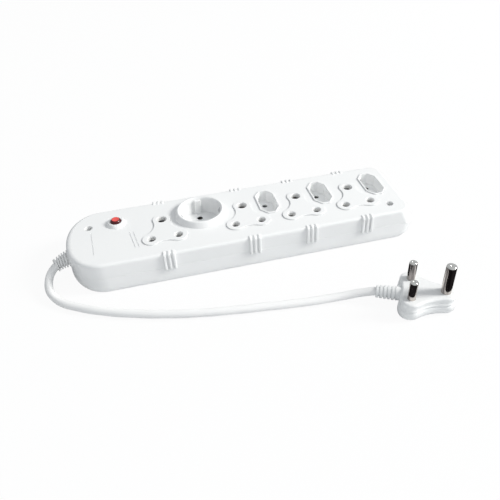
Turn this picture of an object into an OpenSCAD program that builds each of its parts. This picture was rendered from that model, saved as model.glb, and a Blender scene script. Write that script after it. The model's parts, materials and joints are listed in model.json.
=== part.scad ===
// Mains power strip: a long two-piece housing with four round three-pin outlets,
// one round earthed outlet, three slim two-pin outlets, an overload breaker with a
// red reset button, two wall screw wells, and a short supply cord with a moulded plug.
// Origin: centre of the housing's underside. +X runs along the strip away from the
// cord, +Y to the earth side of the outlets, +Z up out of the outlets.

/* [Housing] */
// Length of the housing
body_l = 328; // [327:0.5:336]
// Width of the housing, without its grip ribs
body_w = 86; // [86:0.5:92]
// Height of the housing's flat top
body_h = 33; // [33:0.5:36]
// Thickness of the side walls
wall = 2.4; // [2:0.1:2.6]
// Thickness of the top plate
top_t = 3; // [3:0.1:3.2]
// Thickness of the floor plate
floor_t = 2; // [1.6:0.1:2]
// Height of the seam between the two covers
seam_z = 17.5; // [17:0.5:18.5]
// Depth of the rounded end where the cord enters
round_end = 34; // [30:1:40]
// Corner radius of the far end, seen from above
corner_r = 12; // [10:0.5:13]

/* [Grip ribs] */
// Ribs in each group
rib_count = 3; // [2:1:4]
// Distance between ribs
rib_pitch = 4.3; // [3.5:0.1:5]
// Width of a rib
rib_w = 2.3; // [1.5:0.1:2.6]
// How far a rib stands out of the side
rib_out = 2; // [1:0.1:2.5]

/* [Three-pin outlets] */
// Distance between the live and neutral pins
pin_gap = 25.4; // [25.4:0.1:25.4]
// Distance of the earth pin from the line of the other two
earth_gap = 28.6; // [28.6:0.1:28.6]
// Diameter of the live and neutral holes
power_hole_d = 7.4; // [7.3:0.05:7.6]
// Diameter of the earth hole
earth_hole_d = 9; // [8.95:0.05:9.3]
// How far the outlet faces stand proud of the top plate
face_out = 1; // [0.5:0.1:1.5]

/* [Round earthed outlet] */
// Inside diameter of the recess
cup_d = 39; // [39:0.1:39.4]
// Depth of the recess below its rim
cup_depth = 17.5; // [17:0.1:17.5]
// Height of the rim above the top plate
cup_rise = 5.5; // [5.5:0.1:7]

/* [Slim two-pin outlets] */
// Length of the recess
slim_l = 37; // [36:0.5:38]
// Width of the recess
slim_w = 17; // [16:0.5:17]
// Depth of the recess below its rim
slim_depth = 12; // [10:0.5:12]

/* [Reset button] */
// Diameter of the button
button_d = 10; // [9:0.5:10]
// Height of the button's top above the top plate
button_rise = 5.5; // [5:0.1:6.5]
// Travel of the button
button_travel = 2.5; // [1.5:0.1:2.5]

/* [Cord and plug] */
// Diameter of the supply cord
cord_d = 7.5; // [6.8:0.1:7.6]
// Diameter of the plug's live and neutral pins
power_pin_d = 7.06; // [7.06:0.01:7.06]
// Length of the plug's live and neutral pins
power_pin_l = 18.6; // [17:0.1:18.6]
// Diameter of the plug's earth pin
earth_pin_d = 8.7; // [8.7:0.01:8.7]
// Length of the plug's earth pin
earth_pin_l = 28.6; // [27:0.1:28.6]
// Height of the plug's face above the surface it lies on
plug_h = 18; // [18:0.5:20]

/* [Hidden] */
$fn = 48;
EPS = 0.01;
FIT = 0.15;                      // gap between a moulded insert and its opening
TOUCH = 0.02;                    // gap between metal parts that seat in each other

WHITE = [0.96, 0.96, 0.96];
WARM_WHITE = [0.93, 0.93, 0.92];
RED = [0.85, 0.12, 0.12];
BRASS = [0.78, 0.62, 0.28];
NICKEL = [0.75, 0.75, 0.77];
STEEL = [0.55, 0.56, 0.58];
DARK = [0.15, 0.15, 0.17];
BROWN = [0.40, 0.22, 0.10];
BLUE = [0.12, 0.28, 0.70];
GREEN = [0.35, 0.65, 0.15];

// Rows of outlets along the strip
outlet_y = -18;                              // live and neutral holes
earth_y = outlet_y + earth_gap;              // earth holes and the centres of the recesses
outlet_x = [-73, 7, 62.5, 118];              // centres of the three-pin outlets
cup_x = -34.5;                               // centre of the round outlet
slim_x = [for (x = [outlet_x[1], outlet_x[2], outlet_x[3]]) x + 26];
half_gap = pin_gap / 2;
face_z = body_h + face_out;
plate_z = body_h - top_t;                    // underside of the top plate
flange_t = 1.5;                              // flange of an insert, under the top plate
small_pin_gap = 19;                          // pin distance of the round and slim outlets
clip_y = [earth_y - small_pin_gap / 2, earth_y + small_pin_gap / 2];
clip_x = concat([cup_x], slim_x);

// Rounded edges of the housing: [height of the round, inset at the sides, at the cord
// end, at the far end]
TOP_EDGE = [2.8, 2.4, 5, 3];
LOW_EDGE = [8, 2.6, 6, 9];
END_POWER = 2.2;                             // squareness of the rounded end

// Screws
wall_screw_at = [[-142.5, 17.5], [147, -28]];
wall_hole_d = 4.8;
wall_well_d = 7.4;
well_t = 3;                                  // floor of a wall screw well
case_screw_at = [[-122, -35.5], [-122, 35.5], [20, -36], [20, 36], [132, -36], [156, 34]];
case_shank_d = 3;
case_head_d = 6;
head_pocket = 3;                             // depth of a head's pocket in the underside
post_d = 7;
clamp_at = [-149, 0];
clamp_screw_gap = 19;
clamp_screw_at = [for (s = [-1, 1]) clamp_at + [0, s * clamp_screw_gap / 2]];
cord_z = 16;                                 // cord's centre where it enters the housing

// Internal levels
bar_z = 9;
bar_t = 1;
bar_w = 5;
bar_y = [-28, -7, 28];                       // live front, neutral, live rear
sleeve_wall = 0.8;
sleeve_top = 27.5;
CLIP_BACK = 3.6;                             // from a small pin's centre to its clip's back
shroud_wall = 1.5;
LOBE_R = 8.7;                                // outlet face round each pin
HOLLOW_R = 17;                               // outlet face between the pins
SLIM_RIM = 1.7;                              // width of a slim outlet's rim
shroud_z = 12;
CLAMP_SEAT = 20;                             // seat of a clamp screw's head

// Button and breaker
button_at = [-116, 17.5];
collar_rise = 3;
case_top = 26;
case_low = 5;
bridge_z = 12;
bridge_t = 1;
terminal_z = bridge_z + bridge_t + 0.05;     // underside of the breaker's terminals
TERMINAL_T = 1;
PLUNGER_FLANGE = 20;                         // underside of the plunger's flange
COLLAR_D = 13.6;                             // collar where it passes the top plate
WIRE_D = 2.8;

// Cord: the line of its centre from the gland to the plug
GLAND_L = 22;
PORT_D = 13.6;                               // hole for the gland in the rounded end
GLAND_CURVE = [[-157, 1, cord_z], [-165, -0.4, cord_z], [-172, -2.5, cord_z], [-177, -7, 14]];
CORD_ROUTE = [[-177, -7, 14], [-182, -13.5, 11.5], [-184.5, -21, 9], [-184.5, -29, 7],
    [-182, -37, 5.5], [-177.5, -44, 4.5], [-170.5, -51, 4], [-161, -57.5, 4], [-148, -65, 4],
    [-131, -73, 4], [-110, -81, 4], [-86, -88.5, 4], [-59, -95, 4], [-30, -100, 4],
    [0, -104, 4], [28, -107.5, 4], [52, -110, 4.5], [70, -112, 6], [84, -115, 8.5],
    [96, -119, 10.5]];
plug_turn = -25;
relief_z = 10.5;
relief_l = 23;                               // whole length of the plug's strain relief
relief_in = 5;                               // part of it inside the plug
plug_back = 10;                              // from the pins' line to the cord side
// The plug lies so that its strain relief ends where the cord's route does
plug_at = [CORD_ROUTE[19][0] + (plug_back + relief_l - relief_in) * cos(plug_turn),
    CORD_ROUTE[19][1] + (plug_back + relief_l - relief_in) * sin(plug_turn)];

// ---- Points and outlines ----

function unit(v) = v / norm(v);
function heading(v) = atan2(v[1], v[0]);
function positive(a) = a - 360 * floor(a / 360);
function arc(c, r, a0, a1, n) = [for (i = [0:n]) c + r * [cos(a0 + (a1 - a0) * i / n),
    sin(a0 + (a1 - a0) * i / n)]];
function signed_power(v, p) = sign(v) * pow(abs(v), p);

// Plan of the housing: a squarish ellipse at the cord end, rounded corners at the other
function plan(side, left, right) =
    let (half_l = body_l / 2, b = body_w / 2 - side, cx = round_end - half_l,
        r = max(corner_r - right, 1.5), ex = half_l - right - r)
    concat([for (a = [90:7.5:270]) [cx + (round_end - left) * signed_power(cos(a), 2 / END_POWER),
            b * signed_power(sin(a), 2 / END_POWER)]],
        arc([ex, r - b], r, -90, 0, 8), arc([ex, b - r], r, 0, 90, 8));

// Corners of a convex outline made round
function rounded(pts, r, n = 5) = [for (i = [0:len(pts) - 1])
    let (p = pts[i], a = unit(pts[(i + len(pts) - 1) % len(pts)] - p),
        b = unit(pts[(i + 1) % len(pts)] - p), half = acos(a * b) / 2,
        c = p + unit(a + b) * r / sin(half), t = heading(p - c), w = 90 - half)
    each arc(c, r, t - w, t + w, n)];

// Hexagonal outline of a slim outlet
function slim_outline(grow) =
    let (x = slim_w / 2 + grow, y = slim_l / 2 + grow, tip = 3.2 + grow * 0.5, s = 11.5 + grow * 0.5)
    rounded([[x, -s], [x, s], [tip, y], [-tip, y], [-x, s], [-x, -s], [-tip, -y], [tip, -y]], 1.6);

// Outline round three pins: a lobe of radius a about each, joined by hollows of radius r
PINS = [[-half_gap, 0], [half_gap, 0], [0, earth_gap]];
function hollow(p, q, a, r) =
    let (d = unit(q - p), n = [d[1], -d[0]], h = norm(q - p) / 2)
    (p + q) / 2 + n * sqrt((a + r) * (a + r) - h * h);
function lobed(a, r) = [for (i = [0:2])
    let (p = PINS[i], next = PINS[(i + 1) % 3], f0 = hollow(PINS[(i + 2) % 3], p, a, r),
        f1 = hollow(p, next, a, r), s = heading(f0 - p), t = s + positive(heading(f1 - p) - s),
        u = heading(p - f1), v = u - positive(u - heading(next - f1)), bow = arc(f1, r, u, v, 6))
    each concat(arc(p, a, s, t, 12), [for (k = [1:5]) bow[k]])];

// Sweep of a round section along points, with one radius for each point
function direction(pts, i) = unit(pts[min(i + 1, len(pts) - 1)] - pts[max(i - 1, 0)]);
function ring(c, d, r, sides) = let (s = unit(cross(d, [0, 0, 1])), u = cross(s, d))
    [for (k = [0:sides - 1]) c + r * (cos(360 * k / sides) * s + sin(360 * k / sides) * u)];
function bezier(p, t) = pow(1 - t, 3) * p[0] + 3 * t * pow(1 - t, 2) * p[1]
    + 3 * t * t * (1 - t) * p[2] + pow(t, 3) * p[3];

// Closed skin over rings that all have the same number of points
module skin(rings) {
    m = len(rings[0]);
    n = len(rings);
    points = [for (r = rings) each r];
    sides = [for (i = [0:n - 2], k = [0:m - 1]) let (j = (k + 1) % m)
        each [[i * m + k, i * m + j, (i + 1) * m + j], [i * m + k, (i + 1) * m + j, (i + 1) * m + k]]];
    ends = [[for (k = [0:m - 1]) m - 1 - k], [for (k = [0:m - 1]) (n - 1) * m + k]];
    polyhedron(points, concat(sides, ends), convexity = 8);
}

module tube(pts, d, sides = 8, first = undef, last = undef) {
    top = len(pts) - 1;
    skin([for (i = [0:top]) ring(pts[i],
        (i == 0 && !is_undef(first)) ? first : (i == top && !is_undef(last)) ? last : direction(pts, i),
        d / 2, sides)]);
}

module at_plug() { translate([plug_at[0], plug_at[1], 0]) rotate(plug_turn) children(); }
module at_outlet(i) { translate([outlet_x[i], outlet_y, 0]) children(); }
module slab(pts, z0, z1) { translate([0, 0, z0]) linear_extrude(z1 - z0) polygon(pts); }
module box(c, size, z0, z1) {
    translate([c[0] - size[0] / 2, c[1] - size[1] / 2, z0]) cube([size[0], size[1], z1 - z0]);
}
module rod(c, d, z0, z1) { translate([c[0], c[1], z0]) cylinder(d = d, h = z1 - z0); }

// ---- Housing ----

// Blank of the housing between two heights, edges rounded, shrunk by inset all round
module blank(inset, edge, z_flat, z_edge) {
    steps = 4;
    hull() {
        slab(plan(inset, inset, inset), min(z_flat, z_edge), max(z_flat, z_edge));
        for (i = [1:steps]) {
            a = 90 * i / steps;
            in = 1 - cos(a);
            dz = edge[0] * sin(a) * sign(z_edge - z_flat);
            slab(plan(inset + edge[1] * in, inset + edge[2] * in, inset + edge[3] * in),
                z_edge + dz - (dz > 0 ? EPS : 0), z_edge + dz + (dz > 0 ? 0 : EPS));
        }
    }
}

// Side view of a grip rib: over the top edge and down the side past the seam
module rib_side() {
    y = body_w / 2;
    polygon([[y - 4.5, body_h - 1], [y - 4.5, body_h], [y - 3.4, body_h + 0.8],
        [y + rib_out - 2.2, body_h + 0.6], [y + rib_out, body_h - 1.8], [y + rib_out, 16],
        [y + rib_out - 1, 14.5], [y - 1, 14.5], [y - 1, body_h - 1]]);
}

module ribs(z0, z1) {
    intersection() {
        for (x = outlet_x, i = [0:rib_count - 1], s = [-1, 1])
            translate([x + (i - (rib_count - 1) / 2) * rib_pitch - s * rib_w / 2, 0, 0])
                rotate([90, 0, s * 90]) linear_extrude(rib_w) rib_side();
        translate([-body_l, -body_w, z0]) cube([2 * body_l, 2 * body_w, z1 - z0]);
    }
}

// Hole for the gland through the rounded end
module gland_port() {
    translate(GLAND_CURVE[0]) rotate([0, 90, heading(GLAND_CURVE[1] - GLAND_CURVE[0])])
        cylinder(d = PORT_D, h = 16);
}

// Straight groove in the top, from a to b
module groove(a, b) {
    width = 0.8;
    depth = 0.5;
    translate([a[0], a[1], body_h - depth]) rotate(heading(b - a))
        translate([0, -width / 2, 0]) cube([norm(b - a), width, depth + 1]);
}

module top_cover() {
    color(WHITE) difference() {
        union() {
            difference() {
                blank(0, TOP_EDGE, seam_z, body_h - TOP_EDGE[0]);
                slab(plan(wall, wall, wall), seam_z - EPS, plate_z);
            }
            for (p = case_screw_at) rod(p, post_d, seam_z, plate_z + EPS);
            for (p = wall_screw_at) rod(p, wall_well_d + 3, seam_z, plate_z + EPS);
            ribs(seam_z, body_h + 2);
        }
        for (i = [0:3]) at_outlet(i) slab(lobed(LOBE_R + FIT, HOLLOW_R - FIT), plate_z - EPS, body_h + 1);
        for (x = slim_x) translate([x, earth_y, 0])
            slab(slim_outline(SLIM_RIM + FIT), plate_z - EPS, body_h + 1);
        rod([cup_x, earth_y], cup_d + 5 + 2 * FIT, plate_z - EPS, body_h + 1);
        rod(button_at, COLLAR_D + 2 * FIT, plate_z - EPS, body_h + 1);
        for (p = wall_screw_at) rod(p, wall_well_d, seam_z - EPS, body_h + 1);
        for (p = case_screw_at) rod(p, case_shank_d + 2 * TOUCH, seam_z - EPS, seam_z + 8);
        groove([-140.5, 8.5], [-139, -26]);
        groove([-105, 0], [-101.5, -25]);
        groove([-101.5, -0.5], [-98, -25.5]);
        gland_port();
    }
}

module bottom_cover() {
    color(WHITE) difference() {
        union() {
            difference() {
                blank(0, LOW_EDGE, seam_z, LOW_EDGE[0]);
                blank(wall, [LOW_EDGE[0] - floor_t, 3, 6, 9], seam_z + EPS, LOW_EDGE[0]);
            }
            for (p = case_screw_at) rod(p, post_d + 2, floor_t - EPS, seam_z);
            for (p = wall_screw_at) rod(p, wall_well_d + 3, floor_t - EPS, seam_z);
            for (p = clamp_screw_at) rod(p, 6.5, floor_t - EPS, 15);
            box(clamp_at, [10, 9], floor_t - EPS, 12);
            box(button_at, [30, 20], floor_t - EPS, case_low);
            ribs(0, seam_z);
        }
        for (p = case_screw_at) {
            rod(p, case_head_d + 0.6, -EPS, head_pocket);
            rod(p, case_shank_d + 0.4, -EPS, seam_z + 1);
        }
        for (p = wall_screw_at) {
            rod(p, wall_well_d, well_t, seam_z + 1);
            rod(p, wall_hole_d, -EPS, well_t + EPS);
        }
        for (p = clamp_screw_at) rod(p, 2.5 + 2 * TOUCH, 6, 16);
        for (y = clip_y) rod([cup_x, y], 8, 1.2, floor_t + EPS);
        translate([clamp_at[0] - 8, clamp_at[1], cord_z]) rotate([0, 90, 0])
            cylinder(d = cord_d + 2 * TOUCH, h = 16);
        gland_port();
    }
}

// Self-tapping screw, head down at z0, pointing up
module screw(d, head_d, length) {
    head_t = d * 0.6;
    difference() {
        union() {
            cylinder(d = head_d, h = head_t);
            translate([0, 0, head_t - EPS]) cylinder(d = d, h = length - d / 2);
            translate([0, 0, head_t + length - d / 2 - EPS]) cylinder(d1 = d, d2 = d * 0.3, h = d / 2);
        }
        for (a = [0, 90]) rotate(a) translate([-head_d * 0.32, -d * 0.11, -EPS])
            cube([head_d * 0.64, d * 0.22, head_t * 0.5]);
    }
}

module case_screws() {
    color(STEEL) for (p = case_screw_at)
        translate([p[0], p[1], head_pocket - case_shank_d * 0.6]) screw(case_shank_d, case_head_d, 20);
}

// ---- Outlets ----

// Holes of the three pins, or something at each of them
module power_spots() { for (s = [-1, 1]) translate([s * half_gap, 0, 0]) children(); }
module earth_spot() { translate([0, earth_gap, 0]) children(); }

// Bore of the shroud round a pin's sleeve
function shroud_bore(d) = d + 2 * sleeve_wall + 0.6;

// Hole of a pin: narrow with an eased mouth in the face, as wide as the shroud's bore below it
module pin_hole(d, bore_d) {
    low = plate_z - flange_t;
    rod([0, 0], bore_d, shroud_z - 1, low);
    rod([0, 0], d, low - EPS, face_z + 1);
    translate([0, 0, face_z - 0.5]) cylinder(d1 = d, d2 = d + 1.2, h = 0.6);
}

module shroud(bore_d) { rod([0, 0], bore_d + 2 * shroud_wall, shroud_z, plate_z); }

module socket_insert(i) {
    color(WHITE) at_outlet(i) difference() {
        union() {
            slab(lobed(LOBE_R, HOLLOW_R), plate_z - EPS, face_z - 0.4);
            slab(lobed(LOBE_R - 0.4, HOLLOW_R + 0.4), face_z - 0.5, face_z);
            slab(lobed(LOBE_R + 1.5, HOLLOW_R - 1.5), plate_z - flange_t, plate_z);
            power_spots() shroud(shroud_bore(power_pin_d));
            earth_spot() shroud(shroud_bore(earth_pin_d));
        }
        power_spots() pin_hole(power_hole_d, shroud_bore(power_pin_d));
        earth_spot() pin_hole(earth_hole_d, shroud_bore(earth_pin_d));
    }
}

// Round recess with a sloped skirt, two guide ribs and two slots for the earth clips
module round_socket_cup() {
    r = cup_d / 2;
    rim_z = body_h + cup_rise;
    well_z = rim_z - cup_depth;
    color(WHITE) translate([cup_x, earth_y, 0]) difference() {
        union() {
            rotate_extrude($fn = 72) polygon([[0, well_z - 2.5], [r + 2.2, well_z - 2.5],
                [r + 2.2, plate_z - flange_t], [r + 4.4, plate_z - flange_t], [r + 4.4, plate_z],
                [r + 2.5, plate_z], [r + 2.5, body_h], [r + 6, body_h], [r + 6, body_h + 0.6],
                [r + 3.6, rim_z - 0.6], [r + 3, rim_z], [r + 1.6, rim_z], [r, rim_z - 1.8],
                [r, well_z], [0, well_z]]);
            for (s = [-1, 1]) box([0, s * (r - 0.6)], [6.6, 3.6], well_z - EPS, rim_z - 2.6);
        }
        for (s = [-1, 1]) {
            translate([0, s * small_pin_gap / 2, well_z - 3]) cylinder(d = 5.4, h = 4);
            translate([0, s * small_pin_gap / 2, well_z - 0.6]) cylinder(d1 = 5.4, d2 = 6.8, h = 0.7);
            box([s * (r + 0.6), 0], [4, 6.4], well_z - 3, rim_z - 2.4);
        }
    }
}

module slim_socket_cup(i) {
    rim_z = face_z;
    well_z = rim_z - slim_depth;
    color(WHITE) translate([slim_x[i], earth_y, 0]) difference() {
        union() {
            slab(slim_outline(SLIM_RIM), well_z - 2.5, rim_z - 0.4);
            slab(slim_outline(SLIM_RIM - 0.4), rim_z - 0.5, rim_z);
            slab(slim_outline(2 * SLIM_RIM), plate_z - flange_t, plate_z);
        }
        slab(slim_outline(0), well_z, rim_z + 1);
        for (s = [-1, 1]) {
            translate([0, s * small_pin_gap / 2, well_z - 3]) cylinder(d = 5, h = 4);
            translate([0, s * small_pin_gap / 2, well_z - 0.6]) cylinder(d1 = 5, d2 = 6.4, h = 0.7);
        }
    }
}

// ---- Contacts and bars ----

// Slit tube that grips a round pin
module sleeve(d, z0) {
    difference() {
        translate([0, 0, z0]) cylinder(d = d + 2 * sleeve_wall, h = sleeve_top - z0);
        translate([0, 0, z0 - 1]) cylinder(d = d + 2 * TOUCH, h = sleeve_top);
        translate([0, -0.5, z0 + 5]) cube([d, 1, sleeve_top]);
    }
}

// Flat ring of a bar round a sleeve, with the arm that joins it to the bar
module bar_ring(c, d, y_bar) {
    difference() {
        union() {
            rod(c, d + 4, bar_z, bar_z + bar_t);
            box([c[0], (c[1] + y_bar) / 2], [4, abs(y_bar - c[1])], bar_z, bar_z + bar_t);
        }
        rod(c, d, bar_z - 1, bar_z + 2);
    }
}

sleeve_d = power_pin_d + 2 * sleeve_wall + 2 * TOUCH;
earth_sleeve_d = earth_pin_d + 2 * sleeve_wall + 2 * TOUCH;

// Tab from a bar to the back of a leaf clip
module clip_tab(x, y, y_bar) {
    box([x, (y + y_bar) / 2], [4, abs(y_bar - y)], bar_z, bar_z + bar_t);
}

module bar(y, x0, x1) { box([(x0 + x1) / 2, y], [x1 - x0, bar_w], bar_z, bar_z + bar_t); }

module live_bar_front() {
    color(BRASS) {
        bar(bar_y[0], -66, outlet_x[3] + half_gap + 3);
        for (x = outlet_x) bar_ring([x + half_gap, outlet_y], sleeve_d, bar_y[0]);
    }
}

module live_bar_rear() {
    color(BRASS) {
        bar(bar_y[2], -50, clip_x[3] + 4);
        for (x = clip_x) clip_tab(x, clip_y[1] + CLIP_BACK, bar_y[2]);
    }
}

module neutral_bar() {
    color(BRASS) {
        bar(bar_y[1], -92, clip_x[3] + 4);
        for (x = outlet_x) bar_ring([x - half_gap, outlet_y], sleeve_d, bar_y[1]);
        for (x = clip_x) clip_tab(x, clip_y[0] - CLIP_BACK, bar_y[1]);
    }
}

module earth_bar() {
    color(BRASS) difference() {
        union() {
            bar(earth_y, -82, outlet_x[3]);
            for (x = outlet_x) rod([x, earth_y], earth_sleeve_d + 4, bar_z, bar_z + bar_t);
        }
        for (x = outlet_x) rod([x, earth_y], earth_sleeve_d, bar_z - 1, bar_z + 2);
    }
}

module live_sleeves() {
    color(BRASS) for (i = [0:3]) at_outlet(i) translate([half_gap, 0, 0]) sleeve(power_pin_d, bar_z);
}
module neutral_sleeves() {
    color(BRASS) for (i = [0:3]) at_outlet(i) translate([-half_gap, 0, 0]) sleeve(power_pin_d, bar_z);
}
module earth_sleeves() {
    color(BRASS) for (i = [0:3]) at_outlet(i) earth_spot() sleeve(earth_pin_d, bar_z);
}

// Two spring leaves on a web, under a small pin hole; the web faces the bar
module leaf_clip(c, side) {
    gap = 5;                                 // as it stands round a 4.8 mm pin
    leaf_t = 0.6;
    top = body_h + cup_rise - cup_depth - 3;
    for (s = [-1, 1]) box([c[0] + s * (gap + leaf_t) / 2, c[1]], [leaf_t, 6], bar_z, top);
    box([c[0], c[1] + side * (CLIP_BACK - leaf_t / 2 - EPS)], [gap + 2 * leaf_t, leaf_t], bar_z, top - 3);
}

module live_clips() { color(BRASS) for (x = clip_x) leaf_clip([x, clip_y[1]], 1); }
module neutral_clips() { color(BRASS) for (x = clip_x) leaf_clip([x, clip_y[0]], -1); }

// Strap under the round outlet whose two ends rise through its slots as earth clips
module earth_side_clips() {
    r = cup_d / 2;
    low = body_h + cup_rise - cup_depth - 3.8;
    t = 0.8;
    color(NICKEL) translate([cup_x, earth_y, 0]) {
        box([0, 0], [2 * r + 3.2, 5], low, low + t);
        for (s = [-1, 1]) translate([0, 2.5, 0]) rotate([90, 0, 0]) linear_extrude(5)
            polygon([[s * (r + 1.6), low], [s * (r + 1.6), low + 7], [s * (r - 1), low + 14.5],
                [s * (r + 1), low + 17.5], [s * (r + 0.4), low + 18.1], [s * (r - 1.9), low + 14.5],
                [s * (r + 0.8), low + 6.8], [s * (r + 0.8), low]]);
        rod([0, 0], 4, bar_z + bar_t, low + EPS);
    }
}

// ---- Button and breaker ----

module button_collar() {
    color(WHITE) translate([button_at[0], button_at[1], 0]) difference() {
        rotate_extrude() polygon([[0, case_top], [8.6, case_top], [8.6, plate_z],
            [COLLAR_D / 2, plate_z], [COLLAR_D / 2, body_h], [8.8, body_h],
            [8.8, body_h + 0.5], [7.4, body_h + collar_rise - 0.3],
            [6.9, body_h + collar_rise], [0, body_h + collar_rise]]);
        translate([0, 0, case_top - 1]) cylinder(d = button_d + 0.16, h = 20);
    }
}

module reset_button_cap() {
    top = body_h + button_rise;
    r = button_d / 2;
    color(RED) translate([button_at[0], button_at[1], 0]) rotate_extrude()
        polygon([[0, plate_z], [r, plate_z], [r, top - 1], [r - 0.3, top - 0.4], [r - 1, top], [0, top]]);
}

module button_plunger() {
    color(WARM_WHITE) translate([button_at[0], button_at[1], 0]) {
        translate([0, 0, bridge_z + bridge_t]) cylinder(d = 4.8, h = plate_z - bridge_z - bridge_t);
        translate([0, 0, PLUNGER_FLANGE]) cylinder(d = 9, h = 1.5);
    }
}

module moving_contact() {
    color(BRASS) box(button_at, [16, 4], bridge_z, bridge_z + bridge_t);
}

// Coil under the moving contact; its turns are worked out by the formula
module button_spring() {
    turns = 3;
    steps = 12;
    low = case_low + 2 + 0.4;
    high = bridge_z - 0.4;
    color(STEEL) translate([button_at[0], button_at[1], 0])
        tube([for (i = [0:turns * steps]) [2.6 * cos(360 * i / steps), 2.6 * sin(360 * i / steps),
            low + (high - low) * i / (turns * steps)]], 0.7, 6);
}

module breaker_case() {
    color(DARK) translate([button_at[0], button_at[1], 0]) {
        difference() {
            box([0, 0], [28, 18], case_low, case_top);
            box([0, 0], [24, 14], case_low + 2, case_top - 2);
            rod([0, 0], 5, case_top - 3, case_top + 1);
            for (s = [-1, 1]) box([s * 13, 0], [6, 5], terminal_z, terminal_z + TERMINAL_T);
        }
        // Shelf that stops the plunger's flange at the end of the travel
        box([0, -5.2], [4, 3.8], case_low + 2 - EPS, PLUNGER_FLANGE - button_travel - 0.05);
    }
}

module breaker_terminals() {
    color(BRASS) for (s = [-1, 1])
        box([button_at[0] + s * 12, button_at[1]], [12, 5], terminal_z, terminal_z + TERMINAL_T);
}

module bimetal_strip() {
    color(STEEL) translate([button_at[0], button_at[1], 0]) {
        box([0, 5.6], [18, 0.6], 15, 19);
        box([-9.6, 4], [1.2, 3.8], 15, 19);
    }
}

// ---- Wires and cord ----

module live_supply_wire() {
    color(BROWN) tube([[-143, 2.3, 16.4], [-139, 4, 16.8], [-135, 7.5, 16], [-132.6, 11, 14.5],
        [-132.4, 15, 13.6]], WIRE_D, 8, [1, 0, 0], [0, 1, 0]);
}
module live_breaker_wire() {
    color(BROWN) tube([[-98, 17.5, 13.6], [-93, 18.5, 14.5], [-84, 24, 14], [-70, 29, 12], [-58, 30, 10],
        [-50, 29.3, 9.5]], WIRE_D, 8, [1, 0, 0], [1, 0, 0]);
}
module live_link_wire() {
    color(BROWN) tube([[-50, 26.3, 9.5], [-54, 25.5, 9], [-60, 20, 6], [-63, 8, 4.5], [-65, -6, 4.5],
        [-70, -18, 5.5], [-72.5, -25, 8], [-70, -28, 9.4], [-66, -28, 9.5]],
        WIRE_D, 8, [-1, 0, 0], [1, 0, 0]);
}
module neutral_wire() {
    color(BLUE) tube([[-143, -2.3, 16.4], [-138, -4, 15], [-128, -5.5, 12], [-112, -6.5, 10],
        [-92, -7, 9.5]], WIRE_D, 8, [1, 0, 0], [1, 0, 0]);
}
module earth_wire() {
    color(GREEN) tube([[-143, 0, 13.3], [-138, 1, 10], [-128, 2.6, 5.5], [-110, 3.5, 3.8], [-96, 7, 5],
        [-88, 10, 8.5], [-82, earth_y, 9.5]], WIRE_D, 8, [1, 0, 0], [1, 0, 0]);
}

module inner_cord_sheath() {
    color(WARM_WHITE) tube([GLAND_CURVE[0], [-154.5, 0.2, cord_z], [-152.9, 0, cord_z], [-143, 0, cord_z]],
        cord_d, 12, unit(GLAND_CURVE[0] - GLAND_CURVE[1]), [1, 0, 0]);
}

module cord_clamp() {
    color(WARM_WHITE) difference() {
        box(clamp_at, [8, clamp_screw_gap + 6], 15 + TOUCH, 22);
        translate([clamp_at[0] - 5, clamp_at[1], cord_z]) rotate([0, 90, 0])
            cylinder(d = cord_d + 2 * TOUCH, h = 10);
        for (p = clamp_screw_at) {
            rod(p, 2.9, 14, 23);
            rod(p, 5.4, CLAMP_SEAT, 23);
        }
    }
}

module clamp_screws() {
    color(STEEL) for (p = clamp_screw_at)
        translate([p[0], p[1], CLAMP_SEAT + 1.5]) mirror([0, 0, 1]) screw(2.5, 5, 14);
}

// Tapered strain relief with rings, curved with the cord
module cord_gland() {
    n = 44;
    tip = unit(GLAND_CURVE[3] - GLAND_CURVE[2]);
    root = unit(GLAND_CURVE[1] - GLAND_CURVE[0]);
    pitch = 3.7;                             // from one ring to the next
    color(WARM_WHITE) skin([for (i = [0:n])
        let (t = i / n, s = t * GLAND_L, p = bezier(GLAND_CURVE, t),
            ahead = bezier(GLAND_CURVE, t + 0.01) - bezier(GLAND_CURVE, t - 0.01),
            d = i == 0 ? root : i == n ? tip : unit(ahead),
            r = s < 2.4 ? 8 : s < 7.2 ? 6.2 : 6.3 - (s - 7) * 0.07 - ((s % pitch) < 1.5 ? 1 : 0))
        ring(p, d, r, 16)]);
}

module supply_cord() {
    color(WARM_WHITE) tube(CORD_ROUTE, cord_d, 10, unit(GLAND_CURVE[3] - GLAND_CURVE[2]),
        [cos(plug_turn), sin(plug_turn), 0]);
}

// ---- Plug, lying on its back with the pins up ----

PLUG_LAYERS = [[0, 6.4], [0.6, 8], [2, 9.4], [4.5, 10.2], [8, 10.3], [12, 9.9], [15.5, 9.4], [17.2, 8.8],
    [18, 7.8]];
plug_scale = plug_h / 18;

// Outline of the plug with the earth pin towards +X
function plug_outline(a) = [for (p = lobed(a, 40)) [p[1], -p[0]]];
plug_pin_at = [[0, -half_gap], [0, half_gap], [earth_gap, 0]];
function pin_d(i) = i < 2 ? power_pin_d : earth_pin_d;

PIN_TAIL = 9.6;                              // low end of a pin, inside the plug
PIN_STEP = 0.8;                              // a pin's root inside the plug is this much narrower all round
function root_d(i) = pin_d(i) - 2 * PIN_STEP;
CHANNEL_TOP = 9.4;                           // top of the bridge's channels for the cores
CORE_Z = 8.2;
CORE_D = 1.6;
CRIMP_Y = 9.5;                               // from the plug's middle to a power pin's crimp

module plug_pocket() {
    translate([-3, -17.5, 7]) cube([8, 35, 5]);
    translate([4, -5, 7]) cube([30, 10, 5]);
}

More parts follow.
